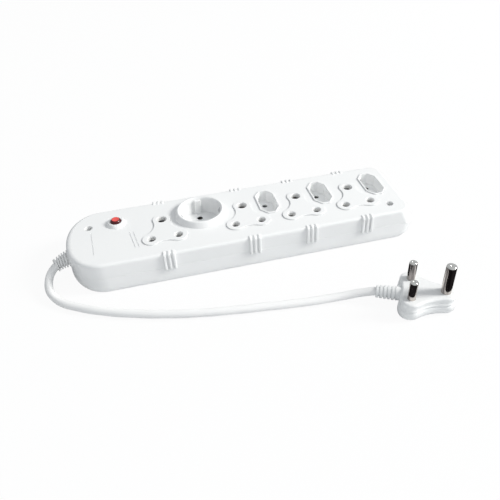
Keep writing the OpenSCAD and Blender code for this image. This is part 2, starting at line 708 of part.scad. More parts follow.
module plug_body() {
    color(WHITE) at_plug() difference() {
        skin([for (l = PLUG_LAYERS) [for (p = plug_outline(l[1])) [p[0], p[1], l[0] * plug_scale]]]);
        plug_pocket();
        for (i = [0:2]) rod(plug_pin_at[i], root_d(i) + 2 * TOUCH, 6, plug_h + 1);
        translate([-plug_back - 4, 0, relief_z]) rotate([0, 90, 0])
            cylinder(d = 12 + 2 * TOUCH, h = 4 + relief_in);
        translate([-plug_back, 0, relief_z]) rotate([0, 90, 0]) cylinder(d = 7, h = plug_back);
    }
}

// Rigid carrier that holds the pins inside the moulded body
module plug_bridge() {
    color(DARK) at_plug() difference() {
        union() {
            translate([-1.9, -17.4, 7.1]) cube([6.8, 34.8, 4.8]);
            translate([4.8, -4.9, 7.1]) cube([29.1, 9.8, 4.8]);
        }
        for (i = [0:2]) rod(plug_pin_at[i], root_d(i) + 2 * TOUCH, 6, plug_h);
        translate([-3, -17, 6]) cube([4, 34, CHANNEL_TOP - 6]);
        translate([-3, -1.5, 6]) cube([earth_gap + 3, 3, CHANNEL_TOP - 6]);
    }
}

// Pin with a chamfered tip, its shoulder on the plug's face and a narrower root below it
module pin(d, root, length) {
    tip = 1;
    foot = plug_h + TOUCH;
    translate([0, 0, PIN_TAIL]) cylinder(d = root, h = foot - PIN_TAIL + EPS);
    translate([0, 0, foot]) cylinder(d = d, h = plug_h + length - tip - foot);
    translate([0, 0, plug_h + length - tip - EPS]) cylinder(d1 = d, d2 = d - 1.8, h = tip + EPS);
}

module plug_pin(i) {
    color(NICKEL) at_plug() translate([plug_pin_at[i][0], plug_pin_at[i][1], 0])
        pin(pin_d(i), root_d(i), i < 2 ? power_pin_l : earth_pin_l);
}

module plug_strain_relief() {
    color(WHITE) at_plug() translate([-plug_back + relief_in, 0, relief_z]) rotate([0, -90, 0])
        difference() {
            rotate_extrude() polygon(concat([[0, 0], [6, 0], [6, relief_in + 1.5]],
                [for (k = [0:3]) let (z = relief_in + 2.2 + k * 3.9, r = 6.2 - k * 0.25)
                    each [[r - 1.1, z - 0.5], [r - 1.1, z + 0.9], [r, z + 1.4], [r, z + 3.2]]],
                [[5, relief_l - 0.6], [4.6, relief_l], [0, relief_l]]));
            translate([0, 0, -1]) cylinder(d = 6, h = 4);
        }
}

// Barrel crimped on a core, with a stub up to the pin's tail
module crimp(c, from) {
    v = c - from;
    translate([from[0], from[1], CORE_Z]) rotate([0, 90, heading(v)]) cylinder(d = 2, h = norm(v));
    rod(c, 2, CORE_Z, PIN_TAIL - TOUCH);
}

module plug_crimps() {
    color(BRASS) at_plug() {
        for (s = [-1, 1]) crimp([0, s * half_gap], [0, s * (CRIMP_Y + TOUCH)]);
        crimp([earth_gap, 0], [earth_gap - 4 + TOUCH, 0]);
    }
}

// Core from the strain relief to a power pin's crimp; side is -1 for live, 1 for neutral
module power_core(side) {
    at_plug() tube([[-7, side * 1.9, relief_z], [-4.6, side * 1.95, 10], [-2.4, side * 2.2, 8.9],
        [-0.7, side * 3.4, CORE_Z], [0, side * 5.5, CORE_Z], [0, side * CRIMP_Y, CORE_Z]],
        CORE_D, 8, [1, 0, 0], [0, side, 0]);
}
module plug_live_core() { color(BROWN) power_core(-1); }
module plug_neutral_core() { color(BLUE) power_core(1); }
module plug_earth_core() {
    color(GREEN) at_plug() tube([[-7, 0, relief_z], [-4.6, 0, 10], [-2.4, 0, 8.8], [0.5, 0, CORE_Z],
        [8, 0, CORE_Z], [earth_gap - 4, 0, CORE_Z]], CORE_D, 8, [1, 0, 0], [1, 0, 0]);
}

top_cover();
bottom_cover();
socket_insert(0);  // socket_insert_1
socket_insert(1);  // socket_insert_2
socket_insert(2);  // socket_insert_3
socket_insert(3);  // socket_insert_4
round_socket_cup();
slim_socket_cup(0);  // slim_socket_cup_1
slim_socket_cup(1);  // slim_socket_cup_2
slim_socket_cup(2);  // slim_socket_cup_3
button_collar();
reset_button_cap();
button_plunger();
moving_contact();
button_spring();
breaker_case();
breaker_terminals();
bimetal_strip();
live_bar_front();
live_bar_rear();
neutral_bar();
earth_bar();
live_sleeves();
neutral_sleeves();
earth_sleeves();
live_clips();
neutral_clips();
earth_side_clips();
live_supply_wire();
live_breaker_wire();
live_link_wire();
neutral_wire();
earth_wire();
inner_cord_sheath();
cord_clamp();
clamp_screws();
case_screws();
cord_gland();
supply_cord();
plug_strain_relief();
plug_body();
plug_bridge();
plug_pin(0);  // plug_live_pin
plug_pin(1);  // plug_neutral_pin
plug_pin(2);  // plug_earth_pin
plug_crimps();
plug_live_core();
plug_neutral_core();
plug_earth_core();
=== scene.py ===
"""Looks of a mains power strip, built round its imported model.

Sizes are in millimetres and the meshes in metres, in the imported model's own frame: the
origin is the centre of the housing's underside, +X runs away from the cord and +Z is up.
"""

import json
import logging
import math
from collections.abc import Callable, Iterable, Sequence
from dataclasses import dataclass, replace
from enum import Enum

import bmesh
import bpy
from mathutils import Matrix, Vector


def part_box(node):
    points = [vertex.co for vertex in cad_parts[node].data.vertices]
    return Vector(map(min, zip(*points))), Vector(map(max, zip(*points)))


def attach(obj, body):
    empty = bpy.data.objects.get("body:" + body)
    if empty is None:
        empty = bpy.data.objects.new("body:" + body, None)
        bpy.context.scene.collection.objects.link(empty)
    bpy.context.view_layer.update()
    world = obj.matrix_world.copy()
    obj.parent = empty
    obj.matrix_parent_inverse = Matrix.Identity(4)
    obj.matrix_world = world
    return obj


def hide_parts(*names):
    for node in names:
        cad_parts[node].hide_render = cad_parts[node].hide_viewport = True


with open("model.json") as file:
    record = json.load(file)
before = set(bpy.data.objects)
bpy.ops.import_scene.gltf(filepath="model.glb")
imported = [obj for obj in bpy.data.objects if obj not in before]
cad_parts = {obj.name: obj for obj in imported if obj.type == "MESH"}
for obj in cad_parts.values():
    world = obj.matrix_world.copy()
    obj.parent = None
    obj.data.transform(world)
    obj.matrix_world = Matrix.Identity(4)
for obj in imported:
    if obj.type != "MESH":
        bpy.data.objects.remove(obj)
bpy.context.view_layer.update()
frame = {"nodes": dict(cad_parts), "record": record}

MM = 0.001
STRIP = "strip"
BUTTON = "reset_button"
Colour = tuple[float, float, float]
Ring = list[Vector]
log = logging.getLogger("power_strip")


class Slot(Enum):
    """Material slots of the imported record."""

    HOUSING = "white_housing"
    BUTTON = "red_button"
    INSULATION = "white_insulation"
    CONTACTS = "brass_contacts"
    STEEL = "steel_parts"
    DARK = "dark_insulation"
    BROWN_WIRE = "brown_wire"
    BLUE_WIRE = "blue_wire"
    GREEN_WIRE = "green_wire"
    CORD = "white_cord"
    PLUG = "white_plug"
    PINS = "nickel_pins"


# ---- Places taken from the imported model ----


def mount(name: str) -> Vector:
    """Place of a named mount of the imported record.

    Args:
        name: The mount's name.

    Returns:
        Its position in millimetres.
    """
    found = next(m for m in frame["record"]["mounts"] if m["name"] == name)
    return Vector(found["pos_m"]) / MM


def corners(node: str) -> tuple[Vector, Vector]:
    """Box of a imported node.

    Args:
        node: The node's name.

    Returns:
        Its lowest and highest corners in millimetres.
    """
    low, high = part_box(node)
    return low / MM, high / MM


# ---- Outlines ----


def arc(centre: Vector, radius: float, start: float, end: float, steps: int) -> Ring:
    """Points of a circular arc.

    Args:
        centre: Centre of the arc.
        radius: Its radius.
        start: First angle in degrees.
        end: Last angle in degrees.
        steps: Number of straight steps.

    Returns:
        The points, both ends included.
    """
    angles = [math.radians(start + (end - start) * i / steps) for i in range(steps + 1)]
    return [centre + radius * Vector((math.cos(a), math.sin(a))) for a in angles]


def circle(centre: Vector, radius: float, sides: int = 64) -> Ring:
    """Points of a whole circle, starting at its +X side."""
    return arc(centre, radius, 0, 360 * (sides - 1) / sides, sides - 1)


def heading(v: Vector) -> float:
    """Direction of a flat vector in degrees."""
    return math.degrees(math.atan2(v.y, v.x))


def rounded(points: Sequence[Vector], radius: float, steps: int = 6) -> Ring:
    """A convex outline with its corners made round.

    Args:
        points: Corners of the outline, in turn.
        radius: Radius of each corner.
        steps: Straight steps in each corner.

    Returns:
        The rounded outline.
    """
    outline: Ring = []
    for i, point in enumerate(points):
        before = (points[i - 1] - point).normalized()
        after = (points[(i + 1) % len(points)] - point).normalized()
        half = before.angle(after) / 2
        centre = point + (before + after).normalized() * radius / math.sin(half)
        middle, spread = heading(point - centre), 90 - math.degrees(half)
        outline += arc(centre, radius, middle - spread, middle + spread, steps)
    return outline


def level(outline: Iterable[Vector], z: float) -> Ring:
    """The outline at a height."""
    return [Vector((p.x, p.y, z)) for p in outline]


def quarter(radius: float, steps: int = 5) -> list[tuple[float, float]]:
    """Quarter round of an edge.

    Args:
        radius: Its radius.
        steps: Straight steps in it.

    Returns:
        Pairs of how far the edge has drawn in and how far it has risen.
    """
    angles = [math.pi / 2 * i / steps for i in range(steps + 1)]
    return [(radius * (1 - math.cos(a)), radius * math.sin(a)) for a in angles]


@dataclass(frozen=True)
class HousingPlan:
    """Plan of the housing: a squarish half ellipse at the cord end, corners at the other."""

    length: float
    width: float
    round_end: float = 34.0
    squareness: float = 2.2
    corner: float = 12.0

    def outline(self, side: float = 0.0, cord_end: float = 0.0, far_end: float = 0.0) -> Ring:
        """Outline of the housing.

        Args:
            side: How far it draws in at the long sides.
            cord_end: How far at the rounded end.
            far_end: How far at the other end.

        Returns:
            The outline, with as many points whatever the arguments.
        """
        half, wide = self.length / 2, self.width / 2 - side
        radius = max(self.corner - max(far_end, 0), 1.5)
        edge = half - far_end - radius

        def squared(v: float) -> float:
            return math.copysign(abs(v) ** (2 / self.squareness), v)

        turns = [math.radians(90 + 3 * i) for i in range(61)]
        end = [Vector((self.round_end - half + (self.round_end - cord_end) * squared(math.cos(a)),
                       wide * squared(math.sin(a)))) for a in turns]
        return (end + arc(Vector((edge, radius - wide)), radius, -90, 0, 12)
                + arc(Vector((edge, wide - radius)), radius, 0, 90, 12))


@dataclass(frozen=True)
class PinPattern:
    """The three pins of an outlet or plug, with outlines drawn round them."""

    gap: float
    earth: float

    def places(self) -> list[Vector]:
        """Neutral, live and earth pins, from the middle of the first two."""
        return [Vector((-self.gap / 2, 0)), Vector((self.gap / 2, 0)), Vector((0, self.earth))]

    def lobed(self, lobe: float, hollow: float) -> Ring:
        """Three-lobed outline.

        Args:
            lobe: Radius about each pin.
            hollow: Radius of the hollows between the lobes.

        Returns:
            The outline, with as many points whatever the arguments.
        """
        pins = self.places()

        def hollow_centre(p: Vector, q: Vector) -> Vector:
            out = Vector(((q - p).y, -(q - p).x)).normalized()
            half = (q - p).length / 2
            return (p + q) / 2 + out * math.sqrt((lobe + hollow) ** 2 - half * half)

        outline: Ring = []
        for i, pin in enumerate(pins):
            before = hollow_centre(pins[i - 1], pin)
            after = hollow_centre(pin, pins[(i + 1) % 3])
            start = heading(before - pin)
            turn = (heading(after - pin) - start) % 360
            outline += arc(pin, lobe, start, start + turn, 20)
            start = heading(pin - after)
            turn = (start - heading(pins[(i + 1) % 3] - after)) % 360
            outline += arc(after, hollow, start, start - turn, 8)[1:-1]
        return outline


# ---- Bench: modelling on one mesh ----


def deselect() -> None:
    """Leaves object mode with nothing selected."""
    if bpy.context.object and bpy.context.object.mode != "OBJECT":
        bpy.ops.object.mode_set(mode="OBJECT")
    bpy.ops.object.select_all(action="DESELECT")


class Bench:
    """One mesh object under work."""

    def __init__(self, name: str, rings: Sequence[Ring]) -> None:
        """Lays a filled circle on the first ring and extrudes its face from ring to ring.

        Args:
            name: Name of the object.
            rings: Rings of as many points each, in millimetres.
        """
        deselect()
        bpy.ops.mesh.primitive_circle_add(vertices=len(rings[0]), radius=MM, fill_type="NGON")
        self.obj = bpy.context.object
        self.obj.name = name
        numbers = self.obj.data.attributes.new("place_in_ring", "INT", "POINT")
        numbers.data.foreach_set("value", range(len(rings[0])))
        bpy.ops.object.mode_set(mode="EDIT")
        bpy.ops.mesh.select_all(action="SELECT")
        self._lay(rings[0])
        for ring in rings[1:]:
            bpy.ops.mesh.extrude_region_move()
            self._lay(ring)
        bpy.ops.mesh.select_all(action="SELECT")
        bpy.ops.mesh.remove_doubles(threshold=0.002 * MM)
        bpy.ops.mesh.normals_make_consistent(inside=False)
        bpy.ops.object.mode_set(mode="OBJECT")
        self.obj.data.attributes.remove(self.obj.data.attributes["place_in_ring"])

    def _lay(self, ring: Ring) -> None:
        """Moves the selected vertices to the points of a ring."""
        shape = bmesh.from_edit_mesh(self.obj.data)
        number = shape.verts.layers.int["place_in_ring"]
        for vertex in shape.verts:
            if vertex.select:
                vertex.co = ring[vertex[number]] * MM
        bmesh.update_edit_mesh(self.obj.data)

    @classmethod
    def turned(cls, name: str, profile: Iterable[tuple[float, float]], centre: Vector,
               sides: int = 64) -> "Bench":
        """A round piece.

        Args:
            name: Name of the object.
            profile: Radii and heights, from end to end.
            centre: Place of its upright axis.
            sides: Number of sides.

        Returns:
            The piece.
        """
        flat = Vector((centre.x, centre.y))
        return cls(name, [level(circle(flat, radius, sides), z) for radius, z in profile])

    @classmethod
    def block(cls, name: str, low: Vector, high: Vector, edge: float) -> "Bench":
        """A block whose upright edges are round and whose top edge is eased.

        Args:
            name: Name of the object.
            low: Its lowest corner.
            high: Its highest corner.
            edge: Radius of its edges.

        Returns:
            The piece.
        """
        def plan(draw: float) -> Ring:
            x0, x1, y0, y1 = low.x + draw, high.x - draw, low.y + draw, high.y - draw
            return rounded([Vector((x1, y0)), Vector((x1, y1)), Vector((x0, y1)), Vector((x0, y0))],
                           max(edge - draw * 0.6, edge * 0.3), 4)
        rings = [level(plan(0), low.z)]
        rings += [level(plan(i), high.z - edge + up) for i, up in quarter(edge, 3)]
        return cls(name, rings)

    def moved(self, by: Vector) -> "Bench":
        """Moves the mesh, and not its object."""
        self.obj.data.transform(Matrix.Translation(by * MM))
        return self

    def joined(self, others: Iterable["Bench"]) -> "Bench":
        """Takes other meshes into this object as they are."""
        deselect()
        for piece in (self, *others):
            piece.obj.select_set(True)
        bpy.context.view_layer.objects.active = self.obj
        bpy.ops.object.join()
        return self

    def _boolean(self, other: "Bench", operation: str) -> "Bench":
        deselect()
        bpy.context.view_layer.objects.active = self.obj
        self.obj.select_set(True)
        modifier = self.obj.modifiers.new(operation.lower(), "BOOLEAN")
        modifier.operation = operation
        modifier.solver = "EXACT"
        modifier.use_self = True
        modifier.object = other.obj
        bpy.ops.object.modifier_apply(modifier=modifier.name)
        bpy.data.objects.remove(other.obj)
        return self

    def cut(self, tools: Sequence["Bench"]) -> "Bench":
        """Takes the tools' shapes out of this piece."""
        return self._boolean(tools[0].joined(tools[1:]), "DIFFERENCE") if tools else self

    def add(self, parts: Sequence["Bench"]) -> "Bench":
        """Grows this piece by other shapes."""
        return self._boolean(parts[0].joined(parts[1:]), "UNION") if parts else self

    def finish(self, body: str, slot: Slot, material: bpy.types.Material,
               nodes: Sequence[str], smooth: float = 32) -> bpy.types.Object:
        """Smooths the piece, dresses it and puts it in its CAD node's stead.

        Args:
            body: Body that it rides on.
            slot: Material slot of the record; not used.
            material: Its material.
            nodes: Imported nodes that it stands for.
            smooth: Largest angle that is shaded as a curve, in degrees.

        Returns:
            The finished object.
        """
        deselect()
        self.obj.select_set(True)
        bpy.context.view_layer.objects.active = self.obj
        bpy.ops.object.mode_set(mode="EDIT")
        bpy.ops.mesh.select_all(action="SELECT")
        bpy.ops.mesh.remove_doubles(threshold=0.002 * MM)
        bpy.ops.mesh.dissolve_degenerate(threshold=0.001 * MM)
        bpy.ops.object.mode_set(mode="OBJECT")
        bpy.ops.object.shade_smooth_by_angle(angle=math.radians(smooth))
        weighted = self.obj.modifiers.new("weighted", "WEIGHTED_NORMAL")
        weighted.keep_sharp = True
        bpy.ops.object.modifier_apply(modifier=weighted.name)
        self.obj.data.materials.clear()
        self.obj.data.materials.append(material)
        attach(self.obj, body)
        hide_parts(*nodes)
        log.info("%s: %d faces", self.obj.name, len(self.obj.data.polygons))
        return self.obj


# ---- Shader maths and finishes ----


class Signal:
    """A number that varies over a surface, with Python's arithmetic."""

    def __init__(self, shader: "Shader", socket: bpy.types.NodeSocket) -> None:
        """Wraps an output socket."""
        self.shader = shader
        self.socket = socket

    def _math(self, operation: str, first: "Signal | float", second: "Signal | float") -> "Signal":
        node = self.shader.node("ShaderNodeMath", {"operation": operation}, {0: first, 1: second})
        return Signal(self.shader, node.outputs[0])

    def __add__(self, other: "Signal | float") -> "Signal":
        """Sum."""
        return self._math("ADD", self, other)

    def __radd__(self, other: float) -> "Signal":
        """Sum, with the number first."""
        return self._math("ADD", other, self)

    def __sub__(self, other: "Signal | float") -> "Signal":
        """Difference."""
        return self._math("SUBTRACT", self, other)

    def __rsub__(self, other: float) -> "Signal":
        """Difference, with the number first."""
        return self._math("SUBTRACT", other, self)

    def __mul__(self, other: "Signal | float") -> "Signal":
        """Product."""
        return self._math("MULTIPLY", self, other)

    def __rmul__(self, other: float) -> "Signal":
        """Product, with the number first."""
        return self._math("MULTIPLY", other, self)


class Shader:
    """One node tree of a material or of the world."""

    def __init__(self, name: str, tree: bpy.types.NodeTree | None = None) -> None:
        """Starts an empty material, or empties the tree that is given."""
        if tree is None:
            self.material = bpy.data.materials.new(name)
            self.material.use_nodes = True
            tree = self.material.node_tree
        self.tree = tree
        self.tree.nodes.clear()

    def node(self, kind: str, settings: dict[str, object] | None = None,
             inputs: dict[object, object] | None = None) -> bpy.types.Node:
        """Adds a node.

        Args:
            kind: The node's type.
            settings: Its settings by name.
            inputs: Values, signals or sockets for its inputs, by name or number.

        Returns:
            The node.
        """
        node = self.tree.nodes.new(kind)
        for name, value in (settings or {}).items():
            setattr(node, name, value)
        for name, value in (inputs or {}).items():
            source = value.socket if isinstance(value, Signal) else value
            if isinstance(source, bpy.types.NodeSocket):
                self.tree.links.new(source, node.inputs[name])
            else:
                node.inputs[name].default_value = source
        return node

    def noise(self, size: float, detail: float = 2.0, stretch: Vector | None = None) -> Signal:
        """Noise in the piece's own space.

        Args:
            size: Size of its features in millimetres.
            detail: Levels of finer features.
            stretch: Scale along each axis.

        Returns:
            Values about one half.
        """
        place = self.node("ShaderNodeTexCoord").outputs["Object"]
        if stretch is not None:
            place = self.node("ShaderNodeMapping", {}, {"Vector": place, "Scale": stretch}).outputs[0]
        node = self.node("ShaderNodeTexNoise", {}, {
            "Vector": place, "Scale": 1 / (size * MM), "Detail": detail})
        return Signal(self, node.outputs[0])

    def facing_up(self) -> Signal:
        """How far the surface faces up, from -1 to 1."""
        normal = self.node("ShaderNodeTexCoord").outputs["Normal"]
        return Signal(self, self.node("ShaderNodeSeparateXYZ", {}, {0: normal}).outputs[2])

    def height_fade(self, height: float, width: float) -> Signal:
        """Fade from 0 above a height to 1 below it.

        Args:
            height: The height in millimetres.
            width: Width of the fade.

        Returns:
            The fade.
        """
        place = self.node("ShaderNodeTexCoord").outputs["Object"]
        up = self.node("ShaderNodeSeparateXYZ", {}, {0: place}).outputs[2]
        fade = self.node("ShaderNodeMapRange", {}, {
            "Value": up, "From Min": height * MM, "From Max": (height - width) * MM})
        return Signal(self, fade.outputs[0])

    def blend(self, factor: Signal, first: Colour, second: Colour) -> bpy.types.NodeSocket:
        """Colour between two others."""
        node = self.node("ShaderNodeMix", {"data_type": "RGBA"},
                         {0: factor, 6: (*first, 1), 7: (*second, 1)})
        return node.outputs[2]

    def bump(self, height: Signal, depth: float) -> bpy.types.NodeSocket:
        """Surface relief.

        Args:
            height: Heights from 0 to 1.
            depth: Depth of the relief in millimetres.

        Returns:
            The normal.
        """
        return self.node("ShaderNodeBump", {}, {"Height": height, "Distance": depth * MM}).outputs[0]

    def close(self, **inputs: object) -> bpy.types.Material:
        """Ends the tree in one Principled shader, with its inputs by name."""
        named = {name.replace("_", " "): value for name, value in inputs.items()}
        surface = self.node("ShaderNodeBsdfPrincipled", {}, named)
        self.node("ShaderNodeOutputMaterial", {}, {"Surface": surface.outputs[0]})
        return self.material


@dataclass(frozen=True)
class MouldedPlastic:
    """Moulded plastic: faint flow marks in its colour and a fine texture from the mould; it can also take
    painted shade, near black below a given height, for the shade deep in holes.
    """

    colour: Colour
    shade: Colour
    roughness: float
    grain: float = 0.5
    depth: float = 0.01
    # Height in millimetres below which painted shade darkens the colour to near black, standing for the
    # shade deep in holes; None leaves it out.
    painted_shade_below: float | None = None

    def material(self, name: str) -> bpy.types.Material:
        """The plastic as a material with that name."""
        shader = Shader(name)
        flow = shader.noise(35, 3)
        grain = shader.noise(self.grain, 3)
        colour = shader.blend(flow * flow, self.colour, self.shade)
        # Painted shade: below that height the colour fades to near black over half a millimetre, for the
        # shade deep inside holes and recesses.
        if self.painted_shade_below is not None:
            deep = shader.height_fade(self.painted_shade_below, 0.5)
            colour = shader.node("ShaderNodeMix", {"data_type": "RGBA"},
                                 {0: deep, 6: colour, 7: (0.05, 0.05, 0.055, 1)}).outputs[2]
        return shader.close(
            Base_Color=colour,
            Roughness=(flow - 0.5) * 0.12 + (grain - 0.5) * 0.06 + self.roughness,
            Normal=shader.bump(grain, self.depth))


@dataclass(frozen=True)
class PlatedMetal:
    """Turned or pressed metal: fine drawn lines and a slight change of tone."""

    colour: Colour
    shade: Colour
    roughness: float
    lines: Vector
    depth: float = 0.004

    def material(self, name: str) -> bpy.types.Material:
        """The metal as a material with that name."""
        shader = Shader(name)
        drawn = shader.noise(0.6, 2, self.lines)
        tone = shader.noise(7, 3)
        return shader.close(
            Base_Color=shader.blend(tone, self.colour, self.shade),
            Metallic=1.0,
            Roughness=(drawn - 0.5) * 0.2 + (tone - 0.5) * 0.1 + self.roughness,
            Normal=shader.bump(drawn, self.depth))


@dataclass(frozen=True)
class CapWithPaintedShade:
    """Moulded plastic in its own colour on top, with painted shade down its steep sides, where the colour
    turns to a near-black red.
    """

    colour: Colour
    # Near-black red of the painted shade on the steep sides.
    deep: Colour
    roughness: float

    def material(self, name: str) -> bpy.types.Material:
        """The plastic as a material with that name."""
        shader = Shader(name)
        cloud = shader.noise(2.2, 2)
        # Painted shade: the steeper the face, the closer its colour comes to the near-black red.
        steep = shader.node("ShaderNodeMapRange", {}, {
            "Value": shader.facing_up() + (cloud - 0.5) * 0.1, "From Min": 0.99, "From Max": 0.80})
        return shader.close(
            Base_Color=shader.blend(Signal(shader, steep.outputs[0]), self.colour, self.deep),
            Roughness=(cloud - 0.5) * 0.1 + self.roughness,
            Normal=shader.bump(shader.noise(0.8, 2), 0.006))


@dataclass(frozen=True)
class TurnedPin:
    """Plated pin with painted light: broad light and dark streaks down its side as painted reflections,
    and a painted highlight in a paler colour on the faces that look up, such as its end.
    """

    # Pale colour of the painted reflection streaks.
    colour: Colour
    # Dark colour of the painted reflection streaks.
    shade: Colour
    # Colour of the painted highlight on faces that look up.
    tip: Colour
    roughness: float

    def material(self, name: str) -> bpy.types.Material:
        """The plating as a material with that name."""
        shader = Shader(name)
        # Painted reflections: broad upright streaks that swing between the pale and the dark colour.
        streak = shader.noise(2.6, 1, Vector((1, 1, 0.06)))
        contrast = shader.node("ShaderNodeMapRange", {}, {
            "Value": streak, "From Min": 0.40, "From Max": 0.60})
        side = shader.blend(Signal(shader, contrast.outputs[0]), self.colour, self.shade)
        # Painted highlight: faces that look up turn to the tip colour.
        up = shader.node("ShaderNodeMapRange", {}, {
            "Value": shader.facing_up(), "From Min": 0.15, "From Max": 0.5}).outputs[0]
        whole = shader.node("ShaderNodeMix", {"data_type": "RGBA"}, {0: up, 6: side, 7: (*self.tip, 1)})
        return shader.close(
            Base_Color=whole.outputs[2], Metallic=1.0,
            Roughness=(streak - 0.5) * 0.12 + self.roughness,
            Normal=shader.bump(shader.noise(0.5, 2, Vector((1, 1, 4))), 0.003))


@dataclass(frozen=True)
class SoftSheath:
    """Flexible PVC: a satin skin with a little unevenness and dust-dulled patches."""

    colour: Colour
    shade: Colour
    roughness: float = 0.42

    def material(self, name: str) -> bpy.types.Material:
        """The sheath as a material with that name."""
        shader = Shader(name)
        patch = shader.noise(14, 3)
        skin = shader.noise(1.4, 3)
        return shader.close(
            Base_Color=shader.blend(patch * skin, self.colour, self.shade),
            Roughness=(patch - 0.5) * 0.18 + self.roughness,
            Normal=shader.bump(skin, 0.03))


FINISHES = {
    Slot.HOUSING: MouldedPlastic((0.90, 0.905, 0.905), (0.87, 0.885, 0.885), 0.30),
    # Red button cap with painted shade, a near-black red, down its steep sides.
    Slot.BUTTON: CapWithPaintedShade((0.86, 0.10, 0.085), (0.075, 0.004, 0.006), 0.22),
    Slot.INSULATION: MouldedPlastic((0.82, 0.82, 0.79), (0.76, 0.76, 0.72), 0.45),
    Slot.CONTACTS: PlatedMetal((0.80, 0.60, 0.27), (0.70, 0.50, 0.20), 0.30, Vector((1, 6, 6))),
    Slot.STEEL: PlatedMetal((0.62, 0.62, 0.63), (0.50, 0.50, 0.52), 0.35, Vector((5, 5, 1))),
    Slot.DARK: MouldedPlastic((0.03, 0.03, 0.033), (0.045, 0.045, 0.05), 0.4),
    Slot.BROWN_WIRE: SoftSheath((0.17, 0.06, 0.025), (0.12, 0.04, 0.018)),
    Slot.BLUE_WIRE: SoftSheath((0.03, 0.12, 0.50), (0.02, 0.08, 0.38)),
    Slot.GREEN_WIRE: SoftSheath((0.16, 0.48, 0.06), (0.55, 0.60, 0.05)),
    Slot.CORD: SoftSheath((0.94, 0.94, 0.935), (0.88, 0.885, 0.885)),
    Slot.PLUG: MouldedPlastic((0.89, 0.90, 0.90), (0.85, 0.865, 0.87), 0.34, 0.8, 0.014),
    # Pins: pale and dark painted reflection streaks, with a painted highlight on faces that look up.
    Slot.PINS: TurnedPin((0.62, 0.58, 0.55), (0.26, 0.235, 0.23), (0.80, 0.79, 0.76), 0.12),
}


# ---- Housing ----


@dataclass(frozen=True)
class EdgeRound:
    """Rounding of a housing edge: its height, and how far it draws in on each side."""

    height: float
    side: float
    cord_end: float
    far_end: float


@dataclass(frozen=True)
class GripRibs:
    """Groups of ribs over the top edge and down the long sides."""

    centres: tuple[float, ...]
    side: float
    top: float
    seam: float
    count: int = 3
    pitch: float = 4.3
    width: float = 2.3
    proud: float = 2.0
    low: float = 14.5
    edge: float = 0.6
    seam_gap: float = 0.15

    def _upper(self, draw: float) -> list[tuple[float, float]]:
        """Side view above the seam, drawn in by a distance."""
        y, z = self.side, self.top
        bend = [(y - 0.2 + (2.2 - draw) * math.sin(math.radians(a)),
                 z - 1.8 + (2.4 - draw) * math.cos(math.radians(a))) for a in range(0, 91, 15)]
        low = self.seam + self.seam_gap
        return [(y - 4.5 + draw, z - 1), (y - 4.5 + draw, z - draw), (y - 3.4, z + 0.8 - draw),
                *bend, (y + self.proud - draw, low), (y - 1, low), (y - 1, z - 1.5)]

    def _lower(self, draw: float) -> list[tuple[float, float]]:
        """Side view below the seam, drawn in by a distance."""
        y, high = self.side, self.seam - self.seam_gap
        return [(y + self.proud - draw, high), (y + self.proud - draw, self.low + 1.4 + draw * 0.5),
                (y + self.proud - 0.5 - draw, self.low + 0.4 + draw), (y + 0.5 - draw, self.low + draw),
                (y - 1, self.low + draw), (y - 1, high)]

    def parts(self, upper: bool) -> list[Bench]:
        """Ribs of one cover.

        Args:
            upper: Whether it is the top cover.

        Returns:
            One piece for each rib.
        """
        view = self._upper if upper else self._lower
        stations = [(inward - self.width / 2, self.edge - up) for inward, up in quarter(self.edge, 3)]
        stations += [(-x, draw) for x, draw in reversed(stations)]
        made = []
        for centre in self.centres:
            for i in range(self.count):
                x = centre + (i - (self.count - 1) / 2) * self.pitch
                for s in (-1, 1):
                    rings = [[Vector((x + dx, s * y, z)) for y, z in view(d)] for dx, d in stations]
                    made.append(Bench("rib", rings))
        return made


@dataclass(frozen=True)
class Openings:
    """What passes through the top plate."""

    plate: float
    top: float
    gap: float = 0.08
    mouth: float = 0.4

    def tool(self, outline: Callable[[float], Ring]) -> Bench:
        """Cutter for an opening with an eased mouth.

        Args:
            outline: Outline of the piece that fills the opening, grown by a distance.

        Returns:
            The cutter.
        """
        rings = [level(outline(self.gap), self.plate - 1)]
        rings += [level(outline(self.gap + inward), self.top - self.mouth + up)
                  for inward, up in quarter(self.mouth, 4)]
        rings.append(level(outline(self.gap + self.mouth), self.top + 3))
        return Bench("opening", rings)


